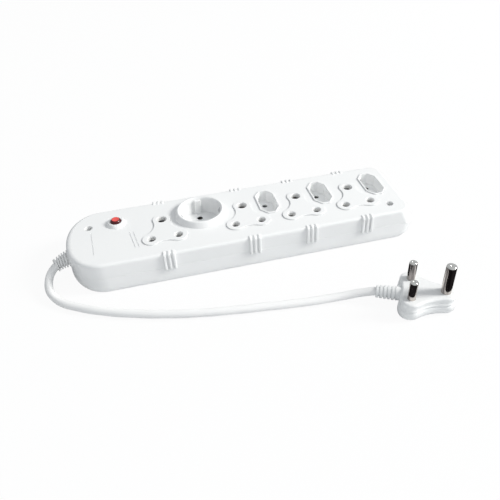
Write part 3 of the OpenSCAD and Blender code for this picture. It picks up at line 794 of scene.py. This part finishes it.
@dataclass(frozen=True)
class Housing:
    """The two covers of the housing."""

    plan: HousingPlan
    ribs: GripRibs
    openings: Openings
    gland_root: Vector
    gland_way: Vector
    wall_screws: tuple[Vector, ...]
    cord_clamp: Vector
    top: float
    seam: float
    wall: float = 2.4
    plate: float = 30.0
    floor: float = 2.0
    seam_ease: float = 0.3
    top_edge: EdgeRound = EdgeRound(2.8, 2.4, 5.0, 3.0)
    low_edge: EdgeRound = EdgeRound(8.0, 2.6, 6.0, 9.0)
    far_bulge: float = 6.0
    low_bulge: float = 4.0
    screw_posts: tuple[tuple[float, float], ...] = (
        (-122, -35.5), (-122, 35.5), (20, -36), (20, 36), (132, -36), (156, 34))
    grooves: tuple[tuple[float, ...], ...] = (
        (-140.5, 8.5, -139, -26), (-105, 0, -101.5, -25), (-101.5, -0.5, -98, -25.5))

    def _rounding(self, edge: EdgeRound, z: float, rise: float, inset: float = 0.0,
                  bulge: float = 0.0) -> list[Ring]:
        """Rings of an edge's rounding, from the side's end.

        Args:
            edge: The rounding.
            z: Height at which the side ends.
            rise: 1 to go up, -1 to go down, or a part of it for a lower rounding.
            inset: How far the whole is drawn in.
            bulge: How far the far end stands out where the side ends.

        Returns:
            The rings, from the side to the flat.
        """
        rings = []
        for i in range(10):
            a = math.pi / 2 * i / 9
            t = 1 - math.cos(a)
            outline = self.plan.outline(inset + edge.side * t, inset + edge.cord_end * t,
                                        inset + edge.far_end * t - bulge * (1 - t))
            rings.append(level(outline, z + rise * edge.height * math.sin(a)))
        return rings

    def _plain(self, inset: float, z: float) -> Ring:
        """The plan, drawn in all round, at a height."""
        return level(self.plan.outline(inset, inset, inset), z)

    def _side(self, low: float, high: float, draw: float = 0.0) -> list[Ring]:
        """Rings of the side wall, whose far end swells towards the seam.

        Args:
            low: Lowest height.
            high: Highest height.
            draw: How far the whole is drawn in.

        Returns:
            The rings, from low to high.
        """
        rings = []
        for i in range(7):
            z = low + (high - low) * i / 6
            if z > self.seam:
                away = (z - self.seam) / (self.top - self.top_edge.height - self.seam)
                swell = self.far_bulge * (1 - away) ** 1.2
            else:
                away = (self.seam - z) / (self.seam - self.low_edge.height)
                swell = self.far_bulge + (self.low_bulge - self.far_bulge) * away ** 2
            rings.append(level(self.plan.outline(draw, draw, draw - swell), z))
        return rings

    def _gland_port(self) -> Bench:
        """Cutter for the gland's hole."""
        start, way = self.gland_root, self.gland_way.normalized()
        return Bench("port", [tube_ring(start + way * s, way, 6.8, 40) for s in (0.0, 16.0)])

    def _groove(self, ends: tuple[float, ...]) -> Bench:
        """Cutter for a shallow groove in the top."""
        start, end = Vector(ends[:2]), Vector(ends[2:])
        along = (end - start).normalized()
        across = Vector((-along.y, along.x))
        outline = (arc(start, 0.4, heading(across), heading(across) + 180, 6)
                   + arc(end, 0.4, heading(-across), heading(-across) + 180, 6))
        middle = (start + end) / 2
        narrow = [middle + (p - middle) * 0.985 for p in outline]
        return Bench("groove", [level(narrow, self.top - 0.5), level(outline, self.top - 0.2),
                                level(outline, self.top + 1)])

    def top_cover(self, fillings: Sequence[Callable[[float], Ring]]) -> Bench:
        """The top cover.

        Args:
            fillings: Outlines of the pieces that fill its openings, each as a function.

        Returns:
            The cover.
        """
        ease = [(self.seam_ease - up, inward) for inward, up in quarter(self.seam_ease, 3)]
        rings = [self._side(self.seam + rise, self.seam + rise, draw)[0] for draw, rise in ease]
        rings += self._side(self.seam + self.seam_ease, self.top - self.top_edge.height)[1:-1]
        rings += self._rounding(self.top_edge, self.top - self.top_edge.height, 1)
        cover = Bench("top_cover_shell", rings)
        cover.cut([Bench("cavity", [self._plain(self.wall, self.seam - 1),
                                    self._plain(self.wall, self.plate - 1),
                                    self._plain(self.wall + 1, self.plate)])])
        posts = [Bench.turned("post", [(3.5, self.seam + 0.05), (3.5, self.plate + 0.5)],
                              Vector(p), 32) for p in self.screw_posts]
        posts += [Bench.turned("well", [(5.2, self.seam + 0.05), (5.2, self.plate + 0.5)], p, 32)
                  for p in self.wall_screws]
        cover.add(posts + self.ribs.parts(upper=True))
        tools = [self.openings.tool(outline) for outline in fillings]
        tools += [self.openings.tool(lambda grow, p=p: circle(Vector((p.x, p.y)), 3.5 + grow, 48))
                  for p in self.wall_screws]
        for p in self.wall_screws:
            tools.append(Bench.turned("well_bore", [(3.7, self.seam - 1), (3.7, self.plate)], p, 48))
        for p in self.screw_posts:
            tools.append(Bench.turned("screw_bore", [(1.52, self.seam - 1), (1.52, self.seam + 8)],
                                      Vector(p), 24))
        tools += [self._groove(g) for g in self.grooves]
        return cover.cut(tools).cut([self._gland_port()])

    def bottom_cover(self) -> Bench:
        """The bottom cover."""
        ease = quarter(self.seam_ease, 3)
        rings = list(reversed(self._rounding(self.low_edge, self.low_edge.height, -1,
                                             bulge=self.low_bulge)))
        rings += self._side(self.low_edge.height, self.seam - self.seam_ease)[1:-1]
        for draw, rise in ease:
            z = self.seam - self.seam_ease + rise
            rings += self._side(z, z, draw)[:1]
        cover = Bench("bottom_cover_shell", rings)
        inner = EdgeRound(self.low_edge.height - self.floor, 3, 6, 9)
        cavity = list(reversed(self._rounding(inner, self.low_edge.height, -1, self.wall)))
        cover.cut([Bench("cavity", [*cavity, self._plain(self.wall, self.seam + 1)])])
        top = self.seam - 0.05
        posts = [Bench.turned("post", [(4.5, self.floor - 0.5), (4.5, top)], Vector(p), 32)
                 for p in self.screw_posts]
        posts += [Bench.turned("well", [(5.2, self.floor - 0.5), (5.2, top)], p, 32)
                  for p in self.wall_screws]
        posts += [Bench.turned("clamp_post", [(3.25, self.floor - 0.5), (3.25, 15)],
                               self.cord_clamp + Vector((0, s * 9.5, 0)), 32) for s in (-1, 1)]
        posts.append(Bench("cradle", [level(rounded([Vector((5, -4.5)), Vector((5, 4.5)),
                                                     Vector((-5, 4.5)), Vector((-5, -4.5))], 0.5),
                                            z) for z in (self.floor - 0.5, 12.0)]).moved(self.cord_clamp))
        cover.add(posts + self.ribs.parts(upper=False))
        tools = []
        for p in self.screw_posts:
            tools.append(Bench.turned("pocket", [(3.5, -1), (3.5, 0), (3.3, 0.25), (3.3, 3),
                                                 (1.7, 3), (1.7, self.seam + 1)], Vector(p), 40))
        for p in self.wall_screws:
            tools.append(Bench.turned("hole", [(2.7, -1), (2.7, 0), (2.4, 0.3), (2.4, 3),
                                               (3.7, 3), (3.7, self.seam + 1)], p, 48))
        for s in (-1, 1):
            tools.append(Bench.turned("clamp_bore", [(1.27, 6), (1.27, 16)],
                                      self.cord_clamp + Vector((0, s * 9.5, 0)), 24))
        seat = self.cord_clamp + Vector((0, 0, 16))
        way = Vector((1, 0, 0))
        tools.append(Bench("seat", [tube_ring(seat + way * s, way, 3.77, 40) for s in (-6.0, 6.0)]))
        return cover.cut(tools).cut([self._gland_port()])


# ---- Outlets ----


@dataclass(frozen=True)
class PinOutlet:
    """Three-pin outlet: a raised three-lobed face with three eased holes."""

    pattern: PinPattern
    face: float
    plate: float = 30.0
    flange: float = 1.5
    lobe: float = 8.7
    hollow: float = 17.0
    power_hole: float = 3.7
    earth_hole: float = 4.5
    lead_in: float = 0.65
    earth_depth: float = 2.3

    def outline(self, at: Vector, grow: float) -> Ring:
        """Outline of the face about the middle of its live and neutral holes."""
        return [Vector((p.x + at.x, p.y + at.y))
                for p in self.pattern.lobed(self.lobe + grow, self.hollow - grow)]

    def insert(self, name: str, at: Vector) -> Bench:
        """The moulded insert.

        Args:
            name: Name of the piece.
            at: Middle of its live and neutral holes.

        Returns:
            The piece.
        """
        low = self.plate - self.flange
        rings = [level(self.outline(at, 1.5), low), level(self.outline(at, 1.5), self.plate),
                 level(self.outline(at, 0), self.plate)]
        rings += [level(self.outline(at, -draw), self.face - 0.5 + up) for draw, up in quarter(0.5, 5)]
        insert = Bench(name, rings)
        places = [at + p.to_3d() for p in self.pattern.places()]
        holes = [self.power_hole, self.power_hole, self.earth_hole]
        shrouds = [4.63, 4.63, 5.45]
        steps = [low, low, low - self.earth_depth]
        insert.add([Bench.turned("shroud", [(bore + 1.5, 12), (bore + 1.5, low + 0.5)], p, 48)
                    for p, bore in zip(places, shrouds)])
        tools = []
        for p, hole, bore, step in zip(places, holes, shrouds, steps):
            mouth = [(hole + self.lead_in - draw, self.face - up)
                     for draw, up in reversed(quarter(self.lead_in, 5))]
            tools.append(Bench.turned("hole", [(bore, 11), (bore, step - 0.01), (hole, step), *mouth,
                                               (hole + self.lead_in, self.face + 1)], p, 64))
        return insert.cut(tools)


@dataclass(frozen=True)
class RoundOutlet:
    """Round earthed outlet: a collar with a deep recess and two guide ribs."""

    centre: Vector
    top: float
    rim: float
    depth: float = 17.5
    plate: float = 30.0
    radius: float = 19.5
    pin_gap: float = 19.0

    def outline(self, grow: float) -> Ring:
        """Where the collar passes the top plate, grown by a distance."""
        return circle(Vector((self.centre.x, self.centre.y)), self.radius + 2.5 + grow, 96)

    def cup(self) -> Bench:
        """The moulded cup."""
        r, top, rim = self.radius, self.top, self.rim
        well = rim - self.depth
        skirt = [(r + 6, top), (r + 5.9, top + 0.5), (r + 5.2, top + 1.6), (r + 4.2, top + 3.6),
                 (r + 3.7, rim - 0.9), (r + 3.3, rim - 0.35), (r + 2.7, rim)]
        lead_in = [(r + 1.9, rim), (r + 1.3, rim - 0.25), (r + 0.6, rim - 1), (r + 0.15, rim - 1.8),
                   (r, rim - 2.6), (r, well + 0.6), (r - 0.2, well + 0.15), (r - 0.6, well)]
        profile = [(r + 2.2, well - 2.5), (r + 2.2, self.plate - 1.5), (r + 4.4, self.plate - 1.5),
                   (r + 4.4, self.plate), (r + 2.5, self.plate), (r + 2.5, top), *skirt, *lead_in]
        cup = Bench.turned("round_outlet_cup", profile, self.centre, 96)
        guides, tools = [], []
        for s in (-1, 1):
            inner, outer = s * (r - 2.4), s * (r + 1.0)
            guides.append(Bench.block(
                "guide", self.centre + Vector((-3.3, min(inner, outer), well - 0.2)),
                self.centre + Vector((3.3, max(inner, outer), rim - 2.4)), 0.7))
            pin = self.centre + Vector((0, s * self.pin_gap / 2, 0))
            tools.append(Bench.turned("pin_hole", [(2.7, well - 4), (2.7, well - 0.7), (2.85, well - 0.3),
                                                   (3.3, well), (3.3, well + 0.5)], pin, 40))
            slot = self.centre + Vector((s * (r + 0.6), 0, 0))
            tools.append(Bench.block("slot", slot + Vector((-2, -3.2, well - 4)),
                                     slot + Vector((2, 3.2, rim - 2.4)), 0.5))
        return cup.add(guides).cut(tools)


@dataclass(frozen=True)
class SlimOutlet:
    """Slim two-pin outlet: a long six-sided recess with a raised rim."""

    face: float
    plate: float = 30.0
    length: float = 37.0
    width: float = 17.0
    depth: float = 12.0
    rim: float = 1.7
    tip: float = 3.2
    shoulder: float = 11.5
    pin_gap: float = 19.0

    def outline(self, at: Vector, grow: float) -> Ring:
        """Outline of the recess, grown by a distance."""
        x, y = self.width / 2 + grow, self.length / 2 + grow
        tip, shoulder = self.tip + grow * 0.5, self.shoulder + grow * 0.5
        sides = [(x, -shoulder), (x, shoulder), (tip, y), (-tip, y),
                 (-x, shoulder), (-x, -shoulder), (-tip, -y), (tip, -y)]
        return rounded([Vector((at.x + px, at.y + py)) for px, py in sides], 1.6)

    def cup(self, name: str, at: Vector) -> Bench:
        """The moulded cup.

        Args:
            name: Name of the piece.
            at: Middle of its pin holes.

        Returns:
            The piece.
        """
        well = self.face - self.depth
        stations = [(self.rim, well - 2.5), (self.rim, self.plate - 1.5), (2 * self.rim, self.plate - 1.5),
                    (2 * self.rim, self.plate), (self.rim, self.plate)]
        stations += [(self.rim - draw, self.face - 0.5 + up) for draw, up in quarter(0.5, 4)]
        stations += [(0.5 - up, self.face - draw) for draw, up in quarter(0.5, 4)]
        stations += [(0, well + 0.8), (-0.25, well + 0.25), (-0.8, well)]
        cup = Bench(name, [level(self.outline(at, grow), z) for grow, z in stations])
        tools = []
        for s in (-1, 1):
            pin = at + Vector((0, s * self.pin_gap / 2, 0))
            tools.append(Bench.turned("pin_hole", [(2.5, well - 4), (2.5, well - 0.7), (2.65, well - 0.3),
                                                   (3.1, well), (3.1, well + 0.5)], pin, 40))
        return cup.cut(tools)


# ---- Button ----


@dataclass(frozen=True)
class ResetButton:
    """The red button and its sloped collar."""

    centre: Vector
    top: float
    crown: float
    plate: float = 30.0
    radius: float = 5.0
    passage: float = 6.8
    low: float = 26.0

    def outline(self, grow: float) -> Ring:
        """Where the collar passes the top plate, grown by a distance."""
        return circle(Vector((self.centre.x, self.centre.y)), self.passage + grow, 64)

    def collar(self) -> Bench:
        """The white collar."""
        slope = [(9.2, self.top), (9.1, self.top + 0.35), (8.4, self.top + 1.3), (7.7, self.top + 2.4),
                 (7.35, self.top + 2.8), (6.9, self.top + 3.0), (5.9, self.top + 3.0)]
        collar = Bench.turned("button_ring", [(8.6, self.low), (8.6, self.plate),
                                              (self.passage, self.plate), (self.passage, self.top),
                                              *slope], self.centre, 72)
        bore = self.radius + 0.08
        return collar.cut([Bench.turned("bore", [
            (bore, self.low - 1), (bore, self.top + 2.2), (bore + 0.2, self.top + 2.6),
            (bore + 0.6, self.top + 3.0), (bore + 0.6, self.top + 4)], self.centre, 72)])

    def cap(self) -> Bench:
        """The red cap: steep shoulders round a small, slightly hollow top."""
        shoulder = [(self.radius, self.crown - 2.2), (self.radius - 0.12, self.crown - 1.5),
                    (self.radius - 0.5, self.crown - 1.0), (self.radius - 1.0, self.crown - 0.5),
                    (self.radius - 1.4, self.crown - 0.15), (self.radius - 1.8, self.crown)]
        dish = [(2.7, self.crown - 0.05), (2.0, self.crown - 0.2), (1.0, self.crown - 0.3),
                (0.3, self.crown - 0.32)]
        return Bench.turned("button_cap", [(self.radius, self.plate), *shoulder, *dish],
                            self.centre, 64)


# ---- Cord ----

# The line of the gland's centre and of the cord's, as in the part's source, in metres
GLAND_CURVE = ((-0.157, 0.001, 0.016), (-0.165, -0.0004, 0.016), (-0.172, -0.0025, 0.016),
               (-0.177, -0.007, 0.014))
CORD_ROUTE = (
    (-0.177, -0.007, 0.014), (-0.182, -0.0135, 0.0115), (-0.1845, -0.021, 0.009),
    (-0.1845, -0.029, 0.007), (-0.182, -0.037, 0.0055), (-0.1775, -0.044, 0.0045),
    (-0.1705, -0.051, 0.004), (-0.161, -0.0575, 0.004), (-0.148, -0.065, 0.004),
    (-0.131, -0.073, 0.004), (-0.110, -0.081, 0.004), (-0.086, -0.0885, 0.004),
    (-0.059, -0.095, 0.004), (-0.030, -0.100, 0.004), (0.0, -0.104, 0.004),
    (0.028, -0.1075, 0.004), (0.052, -0.110, 0.0045), (0.070, -0.112, 0.006),
    (0.084, -0.115, 0.0085), (0.096, -0.119, 0.0105))


def tube_ring(centre: Vector, way: Vector, radius: float | Callable[[float], float],
              sides: int) -> Ring:
    """Ring square to a direction.

    Args:
        centre: Its centre.
        way: The direction.
        radius: Its radius, or a function of the angle in radians.
        sides: Number of points.

    Returns:
        The points.
    """
    side = way.cross(Vector((0, 0, 1))).normalized()
    up = side.cross(way.normalized())
    size = radius if callable(radius) else lambda _: radius
    angles = [2 * math.pi * k / sides for k in range(sides)]
    return [centre + size(a) * (math.cos(a) * side + math.sin(a) * up) for a in angles]


@dataclass(frozen=True)
class SupplyCord:
    """The cord and the ribbed gland that it leaves the housing by."""

    diameter: float
    plug_way: Vector
    gland_length: float = 22.0
    gland_neck: float = 7.4
    ring_pitch: float = 5.2
    twist: float = 85.0
    cores: float = 0.022

    @staticmethod
    def _bezier(t: float) -> Vector:
        """Point of the gland's line, for t from 0 to 1."""
        p = [Vector(point) / MM for point in GLAND_CURVE]
        u = 1 - t
        return u ** 3 * p[0] + 3 * t * u * u * p[1] + 3 * t * t * u * p[2] + t ** 3 * p[3]

    def _gland_radius(self, s: float) -> float:
        """Radius of the gland, for a distance along it."""
        if s < 2.4:
            return 8.0
        if s < self.gland_neck:
            return 6.2
        along = s - self.gland_neck
        body = 8.0 - along * 0.12
        phase = (along % self.ring_pitch) / self.ring_pitch
        groove = max(0.0, math.sin(math.pi * (phase - 0.74) / 0.26))
        return body - 2.2 * groove ** 0.4 - (0.4 if s > self.gland_length - 0.4 else 0)

    def gland(self) -> Bench:
        """The tapered gland, whose rings stay nearly upright until its end."""
        steps = 220
        root = self._bezier(0.01) - self._bezier(0.0)
        rings = []
        for i in range(steps + 1):
            t = i / steps
            ahead = self._bezier(min(t + 0.01, 1)) - self._bezier(max(t - 0.01, 0))
            turned = max(0.0, (t - 0.7) / 0.3) ** 2 * 0.6
            way = root.normalized() * (1 - turned) + ahead.normalized() * turned
            rings.append(tube_ring(self._bezier(t), way, self._gland_radius(t * self.gland_length), 40))
        return Bench("ribbed_gland", rings)

    def line(self, spacing: float = 2.0) -> list[Vector]:
        """Smooth line through the route's points.

        Args:
            spacing: Rough distance between its points.

        Returns:
            The points in millimetres.
        """
        route = [Vector(p) / MM for p in CORD_ROUTE]
        spans = [b - a for a, b in zip(route, route[1:])]
        first = Vector(GLAND_CURVE[3]) - Vector(GLAND_CURVE[2])
        ways = [first.normalized()]
        for before, after in zip(spans, spans[1:]):
            ways.append((before / before.length_squared + after / after.length_squared).normalized())
        ways.append(self.plug_way)
        points = [route[0]]
        for i, span in enumerate(spans):
            steps = max(2, round(span.length / spacing))
            for k in range(1, steps + 1):
                t = k / steps
                points.append(
                    route[i] * (2 * t ** 3 - 3 * t ** 2 + 1) + route[i + 1] * (3 * t ** 2 - 2 * t ** 3)
                    + ways[i] * span.length * (t ** 3 - 2 * t ** 2 + t)
                    + ways[i + 1] * span.length * (t ** 3 - t ** 2))
        return points

    def cord(self, line: Sequence[Vector]) -> Bench:
        """The cord, with its three twisted cores showing faintly through the sheath."""
        rings, travelled = [], 0.0
        for i, point in enumerate(line):
            ahead = line[min(i + 1, len(line) - 1)] - line[max(i - 1, 0)]
            travelled += (point - line[i - 1]).length if i else 0.0
            turn = 2 * math.pi * travelled / self.twist

            def radius(a: float, turn: float = turn) -> float:
                return self.diameter / 2 * (1 - self.cores + self.cores * math.cos(3 * (a - turn)))
            rings.append(tube_ring(point, ahead, radius, 36))
        return Bench("supply_cord_sheath", rings)


# ---- Plug ----


@dataclass(frozen=True)
class Plug:
    """The moulded plug, lying on its back with its pins up."""

    live: Vector
    neutral: Vector
    earth: Vector
    face: float
    back: float = 10.0
    axis: float = 10.5
    relief: float = 23.0
    relief_in: float = 5.0

    @property
    def middle(self) -> Vector:
        """Middle of the live and neutral pins, on the floor."""
        half = (self.live + self.neutral) / 2
        return Vector((half.x, half.y, 0))

    @property
    def forward(self) -> Vector:
        """Direction from the cord to the earth pin."""
        way = self.earth - (self.live + self.neutral) / 2
        return Vector((way.x, way.y, 0)).normalized()

    def at(self, x: float, y: float, z: float) -> Vector:
        """Point in the plug's own frame, +X towards the earth pin."""
        ahead = self.forward
        return self.middle + ahead * x + Vector((-ahead.y, ahead.x, 0)) * y + Vector((0, 0, z))

    def _pattern(self) -> PinPattern:
        """The pins' spacing."""
        return PinPattern((self.live - self.neutral).xy.length,
                          (self.earth - self.middle).xy.length)

    def body(self) -> Bench:
        """The moulded body: rounded back, finger ridge, waist and soft-edged face."""
        layers = [(0, 6.4), (0.15, 7.3), (0.6, 8.2), (1.4, 9.05), (2.6, 9.7), (4.2, 10.1),
                  (6, 10.28), (7.6, 10.2), (8.6, 9.95), (9.2, 9.5), (9.6, 9.1), (9.9, 9.15),
                  (10.3, 9.7), (10.8, 10.0), (11.3, 9.95), (11.8, 9.55), (12.6, 9.2), (14, 9.15),
                  (15, 9.3), (15.8, 9.4), (16.6, 9.35), (17.1, 9.05), (17.6, 8.5), (17.9, 7.9), (18, 7.4)]
        scale = self.face / 18
        pattern = self._pattern()
        rings = []
        for z, lobe in layers:
            rings.append([self.at(p.y, -p.x, z * scale) for p in pattern.lobed(lobe, 40)])
        body = Bench("plug_moulding", rings)
        inner = [self.at(-self.back + s, 0, self.axis) for s in (-5.0, self.relief_in)]
        return body.cut([Bench("relief_seat", [tube_ring(p, self.forward, 6.02, 48) for p in inner])])

    def strain_relief(self) -> Bench:
        """The ribbed strain relief."""
        profile = [(0, 5.4), (0.3, 6.0), (self.relief_in + 0.6, 6.0), (self.relief_in + 1.6, 6.2)]
        z = self.relief_in + 2.1
        for k in range(5):
            radius = 6.2 - k * 0.17
            profile += [(z, radius), (z + 0.15, radius - 0.3), (z + 0.3, radius - 1.4),
                        (z + 1.1, radius - 1.4), (z + 1.25, radius - 0.3), (z + 1.4, radius),
                        (z + 3.1, radius - 0.1)]
            z += 3.35
        end = self.relief
        profile += [(end - 0.3, 5.2), (end - 0.1, 5.0), (end, 4.6)]
        start = self.at(-self.back + self.relief_in, 0, self.axis)
        return Bench("plug_relief", [tube_ring(start - self.forward * s, self.forward, r, 56)
                                     for s, r in profile])

    def pin(self, name: str, place: Vector, node: str) -> Bench:
        """A turned pin with an eased, centred tip.

        Args:
            name: Name of the piece.
            place: Its place.
            node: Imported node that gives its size.

        Returns:
            The piece.
        """
        low, high = corners(node)
        r, tip = (high.x - low.x) / 2, high.z
        profile = [(r - 0.2, low.z), (r, low.z + 0.2), (r, tip - 1.5), (r - 0.12, tip - 1.0),
                   (r - 0.42, tip - 0.5), (r - 0.9, tip - 0.12), (r - 1.3, tip), (1.1, tip),
                   (0.8, tip - 0.25), (0.2, tip - 0.5)]
        return Bench.turned(name, profile, place, 56)


# ---- Studio ----


@dataclass(frozen=True)
class Studio:
    """Camera, lamps, floor and surroundings."""

    aim: Vector = Vector((-1.83, -59.14, 33.0))
    azimuth: float = -12.09
    elevation: float = 38.82
    roll: float = -2.93
    distance: float = 511.11
    lens: float = 41.06
    key: float = 168.0
    key_size: float = 1.25
    key_from: Vector = Vector((3440, -820, 2290))
    ambient: float = 0.57
    from_right: float = 0.10
    from_back: float = -0.06

    def camera(self) -> None:
        """Makes the camera and looks through it."""
        az, el, roll = (math.radians(v) for v in (self.azimuth, self.elevation, self.roll))
        back = Vector((math.sin(az) * math.cos(el), -math.cos(az) * math.cos(el), math.sin(el)))
        right = Vector((math.cos(az), math.sin(az), 0))
        up = back.cross(right)
        across = right * math.cos(roll) + up * math.sin(roll)
        above = up * math.cos(roll) - right * math.sin(roll)
        data = bpy.data.cameras.new("camera")
        data.lens, data.sensor_width = self.lens, 36
        data.clip_start, data.clip_end = 0.01, 20
        eye = bpy.data.objects.new("camera", data)
        bpy.context.scene.collection.objects.link(eye)
        turn = Matrix((across, above, back)).transposed().to_4x4()
        eye.matrix_world = Matrix.Translation((self.aim + back * self.distance) * MM) @ turn
        bpy.context.scene.camera = eye

    def lamps(self) -> None:
        """A soft key from the right, a little in front and well above."""
        data = bpy.data.lights.new("key", "AREA")
        data.shape, data.size = "DISK", self.key_size
        data.energy, data.color = self.key, (1.0, 0.985, 0.955)
        lamp = bpy.data.objects.new("key", data)
        bpy.context.scene.collection.objects.link(lamp)
        lamp.location = self.key_from * MM
        lamp.rotation_euler = self.key_from.to_track_quat("Z", "Y").to_euler()

    def surroundings(self) -> None:
        """White behind the object for the eye; the light on it is cooler and fades to the left."""
        world = bpy.data.worlds.new("surroundings")
        bpy.context.scene.world = world
        world.use_nodes = True
        shader = Shader("surroundings", world.node_tree)
        path = shader.node("ShaderNodeLightPath")
        seen = Signal(shader, path.outputs["Is Camera Ray"]) + Signal(
            shader, path.outputs["Is Transmission Ray"])
        place = shader.node("ShaderNodeTexCoord").outputs["Generated"]
        way = shader.node("ShaderNodeSeparateXYZ", {}, {0: place}).outputs
        level = (Signal(shader, way[0]) * self.from_right + Signal(shader, way[1]) * self.from_back
                 + self.ambient)
        light = shader.node("ShaderNodeBackground", {}, {0: (0.94, 0.97, 1.0, 1), 1: level})
        white = shader.node("ShaderNodeBackground", {}, {0: (1, 1, 1, 1), 1: 1.0})
        mixed = shader.node("ShaderNodeMixShader", {}, {0: seen, 1: light.outputs[0], 2: white.outputs[0]})
        shader.node("ShaderNodeOutputWorld", {}, {"Surface": mixed.outputs[0]})

    def floor(self) -> None:
        """A pale floor: white to the eye but for a faint shadow, dark in reflections."""
        deselect()
        bpy.ops.mesh.primitive_plane_add(size=8, location=(0, 0, -0.0002))
        plane = bpy.context.object
        plane.name = "studio_floor"
        shader = Shader("studio_floor")
        path = shader.node("ShaderNodeLightPath")
        diffuse = shader.node("ShaderNodeBsdfDiffuse", {}, {"Color": (0.85, 0.86, 0.87, 1)})
        glow = shader.node("ShaderNodeEmission", {}, {"Color": (1, 1, 1, 1), "Strength": 1.0})
        dark = shader.node("ShaderNodeEmission", {}, {"Color": (0.02, 0.018, 0.02, 1), "Strength": 1.0})
        seen = shader.node("ShaderNodeMixShader", {}, {
            0: Signal(shader, path.outputs["Is Camera Ray"]) * 0.93,
            1: diffuse.outputs[0], 2: glow.outputs[0]})
        mixed = shader.node("ShaderNodeMixShader", {}, {
            0: path.outputs["Is Glossy Ray"], 1: seen.outputs[0], 2: dark.outputs[0]})
        shader.node("ShaderNodeOutputMaterial", {}, {"Surface": mixed.outputs[0]})
        plane.data.materials.append(shader.material)


# ---- Assembly ----


def dress_packed_nodes(materials: dict[Slot, bpy.types.Material]) -> None:
    """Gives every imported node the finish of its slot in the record.

    Args:
        materials: The material of each slot.
    """
    for part in frame["record"]["subparts"]:
        node = frame["nodes"][part["node"]]
        node.data.materials.clear()
        node.data.materials.append(materials[Slot(part["material_slot"])])


def main() -> None:
    """Builds the studio and every piece, in order."""
    logging.basicConfig(level=logging.INFO, format="%(name)s: %(message)s")
    materials = {slot: finish.material(slot.value) for slot, finish in FINISHES.items()}
    dress_packed_nodes(materials)
    studio = Studio()
    studio.camera()

    plug = Plug(mount("plug_live"), mount("plug_neutral"), mount("plug_earth"),
                corners("plug_body")[1].z)
    supply = SupplyCord(7.5, plug.forward)
    line = supply.line()
    length = sum((b - a).length for a, b in zip(line, line[1:])) * MM
    log.info("cord length %.4f m", length)

    def white(piece: Bench, *nodes: str,
              material: bpy.types.Material = materials[Slot.HOUSING]) -> bpy.types.Object:
        """Finishes a piece of the housing."""
        return piece.finish(STRIP, Slot.HOUSING, material, nodes)

    relief = plug.strain_relief().finish(STRIP, Slot.PLUG, materials[Slot.PLUG], ["plug_strain_relief"])
    body = plug.body().finish(STRIP, Slot.PLUG, materials[Slot.PLUG], ["plug_body"])
    pins = [plug.pin(f"{kind}_pin", mount(f"plug_{kind}"), f"plug_{kind}_pin").finish(
        STRIP, Slot.PINS, materials[Slot.PINS], [f"plug_{kind}_pin"])
        for kind in ("live", "neutral", "earth")]
    supply.gland().finish(STRIP, Slot.CORD, materials[Slot.CORD], ["cord_gland"])
    cord = supply.cord(line).finish(STRIP, Slot.CORD, materials[Slot.CORD], ["supply_cord"])
    [tuple(p * MM) for p in line]

    low, high = corners("bottom_cover")
    seam = high.z
    outlet_places = [(mount(f"outlet_{i}_live") + mount(f"outlet_{i}_neutral")) / 2 for i in range(1, 5)]
    for place in outlet_places:
        place.z = 0
    pattern = PinPattern((mount("outlet_1_live") - mount("outlet_1_neutral")).length,
                         (mount("outlet_1_earth") - outlet_places[0]).y)
    slim_places = [(mount(f"slim_outlet_{i}_live") + mount(f"slim_outlet_{i}_neutral")) / 2
                   for i in range(1, 4)]
    for place in slim_places:
        place.z = 0
    round_place = (mount("round_outlet_live") + mount("round_outlet_neutral")) / 2
    round_place.z = 0
    face = corners("socket_insert_1")[1].z
    top = face - 1
    button_low, button_high = corners("reset_button_cap")
    button_place = (button_low + button_high) / 2
    button_place.z = 0

    outlet = PinOutlet(pattern, face)
    round_outlet = RoundOutlet(round_place, top, corners("round_socket_cup")[1].z)
    slim = SlimOutlet(face)
    button = ResetButton(button_place, top, button_high.z)
    ribs = GripRibs(tuple(p.x for p in outlet_places), 43.0, top, seam)
    clamp_low, clamp_high = corners("cord_clamp")
    clamp = (clamp_low + clamp_high) / 2
    clamp.z = 0
    root, tip = Vector(GLAND_CURVE[0]) / MM, Vector(GLAND_CURVE[1]) / MM
    housing = Housing(
        HousingPlan(high.x - low.x, 86.0), ribs, Openings(30.0, top), root, tip - root,
        tuple(Vector((mount(f"wall_screw_{s}").x, mount(f"wall_screw_{s}").y, 0))
              for s in ("left", "right")), clamp, top, seam)

    fillings = [lambda grow, p=p: outlet.outline(p, grow) for p in outlet_places]
    fillings += [lambda grow, p=p: slim.outline(p, slim.rim + grow) for p in slim_places]
    fillings += [round_outlet.outline, button.outline]
    white(housing.top_cover(fillings), "top_cover")
    white(housing.bottom_cover(), "bottom_cover")
    plastic = FINISHES[Slot.HOUSING]
    # Outlet faces and cups: the housing plastic with painted shade, near black deep in their holes and
    # recesses.
    faces = replace(plastic, painted_shade_below=face - 4.3).material("white_outlet_faces_painted_shade")
    cups = replace(plastic, painted_shade_below=20.6).material("white_outlet_cups_painted_shade")
    for i, place in enumerate(outlet_places, 1):
        white(outlet.insert(f"outlet_face_{i}", place), f"socket_insert_{i}", material=faces)
    white(round_outlet.cup(), "round_socket_cup", material=cups)
    for i, place in enumerate(slim_places, 1):
        white(slim.cup(f"slim_outlet_cup_{i}", place), f"slim_socket_cup_{i}", material=cups)
    white(button.collar(), "button_collar")
    button.cap().finish(BUTTON, Slot.BUTTON, materials[Slot.BUTTON], ["reset_button_cap"])

    studio.lamps()
    studio.surroundings()
    studio.floor()
    bpy.context.scene.view_settings.view_transform = "Standard"


if __name__ == "__main__":
    main()
